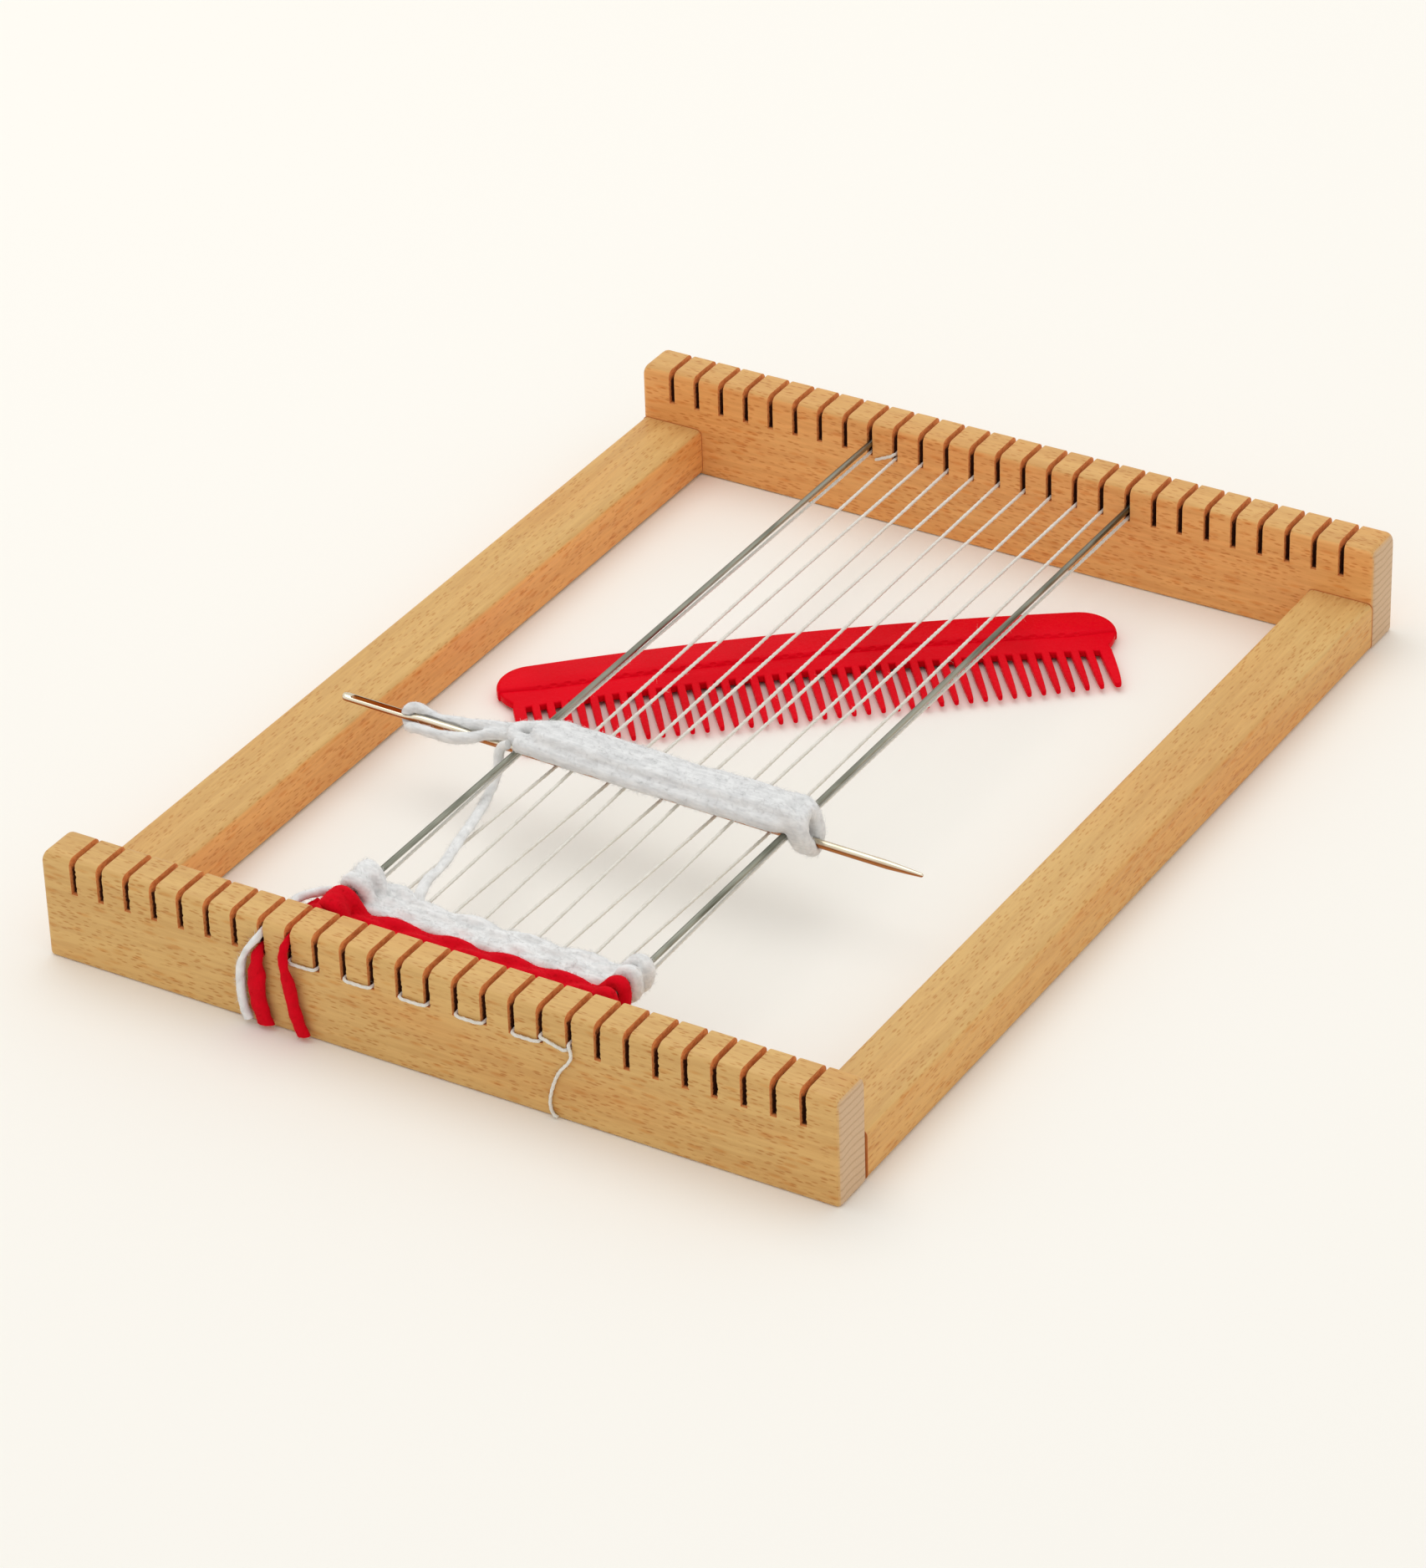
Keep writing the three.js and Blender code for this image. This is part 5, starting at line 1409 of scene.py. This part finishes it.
# The comb is moulded in glossy red plastic. A thick arched back carries a thinner plate with forty-one
# teeth, and the mould has left a small hollow in the back's edge over each gap.
red_plastic, tree, shader = new_material(
    "red plastic", IOR=1.49, Subsurface_Weight=0.03, Subsurface_Radius=(0.0012, 0.0002, 0.0002),
    Subsurface_Scale=1.0, Specular_IOR_Level=0.025,
)
place = object_place(tree)
flow = cloudy(tree, place, (35, 35, 160), 3)
specks = cloudy(tree, place, (900, 900, 900))
red = mixed(tree, ramp(tree, flow, 0.35, 0.65), (0.66, 0.001, 0.008, 1), (0.80, 0.002, 0.013, 1))
coloured(tree, shader, red)
roughened(tree, shader, ramp(tree, specks, 0.35, 0.7, 0.2, 0.34))
relief = plus(tree, times(tree, flow, 6.0), times(tree, specks, 0.05))
raise_surface(tree, shader, relief, 0.1 * MM, 0.08)

comb_centre = Vector((-16.95, 56.17, 0)) * MM
comb_turn = math.radians(38.9)
comb_length = 147 * MM
comb_gaps = 40
end_tooth = 2.55 * MM
end_inset = 3 * MM
comb_arch = 660 * MM
comb_back = 5.9 * MM
comb_ridge = 5.2 * MM
comb_roots = 11.4 * MM
comb_tips = 31.6 * MM
tip_slope = -0.02
comb_plate = 2 * MM
comb_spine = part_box("comb")[1].z
end_radius = 9 * MM
gap_share = 0.51
tooth_pitch = (comb_length - 2 * (end_inset + end_tooth)) / (comb_gaps - 1 + gap_share)
root_gap = 0.44 * tooth_pitch


def arch_at(along):
    return comb_arch - math.sqrt(comb_arch ** 2 - along ** 2)


def arc(centre, radius, start, end, steps):
    angles = [math.radians(start + (end - start) * k / steps) for k in range(steps + 1)]
    return [(centre[0] + radius * math.cos(a), centre[1] + radius * math.sin(a)) for a in angles]


def arched(offset, start, end, steps):
    places = [start + (end - start) * k / steps for k in range(steps + 1)]
    return [(along, offset + arch_at(along)) for along in places]


def tooth_outline(middle, width):
    """One tooth from root to tip and back: it narrows slowly, then rounds off."""
    half, tip = width / 2, comb_tips + tip_slope * middle
    root = comb_roots + arch_at(middle)
    round_radius = 0.56 * half
    down = []
    for share, narrow in ((0.0, 1.0), (0.3, 0.97), (0.55, 0.90), (0.75, 0.80), (0.9, 0.68)):
        down.append((half * narrow, root + share * (tip - round_radius - root)))
    left = [(middle - wide, y) for wide, y in down]
    right = [(middle + wide, y) for wide, y in reversed(down)]
    return left + arc((middle, tip - round_radius), round_radius, 180, 0, 6) + right


def flat_shape(name, outline, thickness, rounding, steps):
    """A plate with rounded edges, from an outline, lying with its middle at height zero."""
    curve = bpy.data.curves.new(name, "CURVE")
    curve.dimensions = "2D"
    curve.fill_mode = "BOTH"
    curve.extrude = thickness / 2 - rounding
    curve.bevel_depth = rounding
    curve.bevel_resolution = steps
    curve.offset = -rounding
    spline = curve.splines.new("POLY")
    spline.points.add(len(outline) - 1)
    for spot, (x, y) in zip(spline.points, outline):
        spot.co = (x, y, 0, 1)
    spline.use_cyclic_u = True
    plate = piece_of(name, curve)
    shown = bpy.context.evaluated_depsgraph_get()
    mesh = bpy.data.meshes.new_from_object(plate.evaluated_get(shown))
    bpy.data.objects.remove(plate)
    return mesh


end_centre = comb_length / 2 - end_radius
back_end = arch_at(end_centre) - comb_back
tooth_width = tooth_pitch - root_gap
end_middle = comb_length / 2 - end_inset - end_tooth / 2
plate_outline = arched(-comb_back + 0.4 * MM, end_centre, -end_centre, 40)
plate_outline += arc((-end_centre, back_end + end_radius), end_radius - 0.4 * MM, 265, 133, 14)
plate_outline += tooth_outline(-end_middle, end_tooth + 0.4 * MM)
for tooth in range(1, comb_gaps):
    plate_outline += tooth_outline((tooth - comb_gaps / 2) * tooth_pitch, tooth_width)
plate_outline += tooth_outline(end_middle, end_tooth + 0.4 * MM)
plate_outline += arc((end_centre, back_end + end_radius), end_radius - 0.4 * MM, 47, -85, 14)
doubled = 0.002 * MM
plate_mesh = outward(flat_shape("comb plate", plate_outline, comb_plate, 0.42 * MM, 3), doubled)
for spot in plate_mesh.vertices:
    share = min(1.0, max(0.0, (spot.co.y - comb_roots) / (comb_tips - comb_roots)))
    spot.co.z *= 1 - 0.35 * share

spine_outline = arched(-comb_back, end_centre, -end_centre, 48)
spine_outline += arc((-end_centre, back_end + end_radius), end_radius, 265, 170, 14)
spine_outline += arched(comb_ridge, -end_centre + 2 * MM, end_centre - 2 * MM, 48)
spine_outline += arc((end_centre, back_end + end_radius), end_radius, 10, -85, 14)
spine_mesh = outward(flat_shape("comb spine", spine_outline, comb_spine, 1.1 * MM, 4), doubled)


def hollows_tree():
    """Presses a row of small hollows into the edge of the comb's back, one over each gap."""
    tree, given = open_tree(
        "mould hollows", Count="Int", Pitch="Float", Arch="Float", Edge="Float", Height="Float",
        Size="Vector", Plastic="Material",
    )
    row = row_of_points(tree, given, joined(tree, row_start(tree, given)))
    along = split(tree, position(tree))["X"]
    rise = calc(tree, "DIVIDE", times(tree, along, along), times(tree, given["Arch"], 2.0))
    row = moved_to(tree, row, Position=joined(tree, along, plus(tree, rise, given["Edge"]), given["Height"]))
    ball = put(tree, "GeometryNodeMeshIcoSphere", {"Radius": 1.0, "Subdivisions": 3}).outputs[0]
    sockets = {"Points": row, "Instance": ball, "Scale": given["Size"]}
    balls = put(tree, "GeometryNodeInstanceOnPoints", sockets).outputs[0]
    balls = put(tree, "GeometryNodeRealizeInstances", {0: balls}).outputs[0]
    close_tree(tree, less(tree, given["Geometry"], balls), given["Plastic"])
    return tree


spine = grow(piece_of("comb_spine", spine_mesh), hollows_tree(), {
    "Count": comb_gaps, "Pitch": tooth_pitch, "Arch": comb_arch, "Edge": comb_ridge - 0.2 * MM,
    "Height": -comb_spine / 2 - 0.35 * MM,
    "Size": (1.25 * MM, 0.85 * MM, 1.0 * MM), "Plastic": red_plastic,
})
spine_mesh = baked(spine).data
bpy.data.objects.remove(spine)
comb = piece_of("comb_plastic", plate_mesh)
plate_mesh.materials.clear()
plate_mesh.materials.append(red_plastic)
back = piece_of("comb_back", spine_mesh)
join = comb.modifiers.new("back", "BOOLEAN")
join.operation = "UNION"
join.solver = "EXACT"
join.object = back
baked(comb, 38)
bpy.data.objects.remove(back)
comb.data.transform(
    Matrix.Translation(comb_centre) @ Matrix.Rotation(comb_turn, 4, "Z")
    @ Matrix.Translation((0, 0, comb_spine / 2)) @ Matrix.Rotation(math.pi, 4, "X")
)
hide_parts("comb")
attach(comb, "comb")
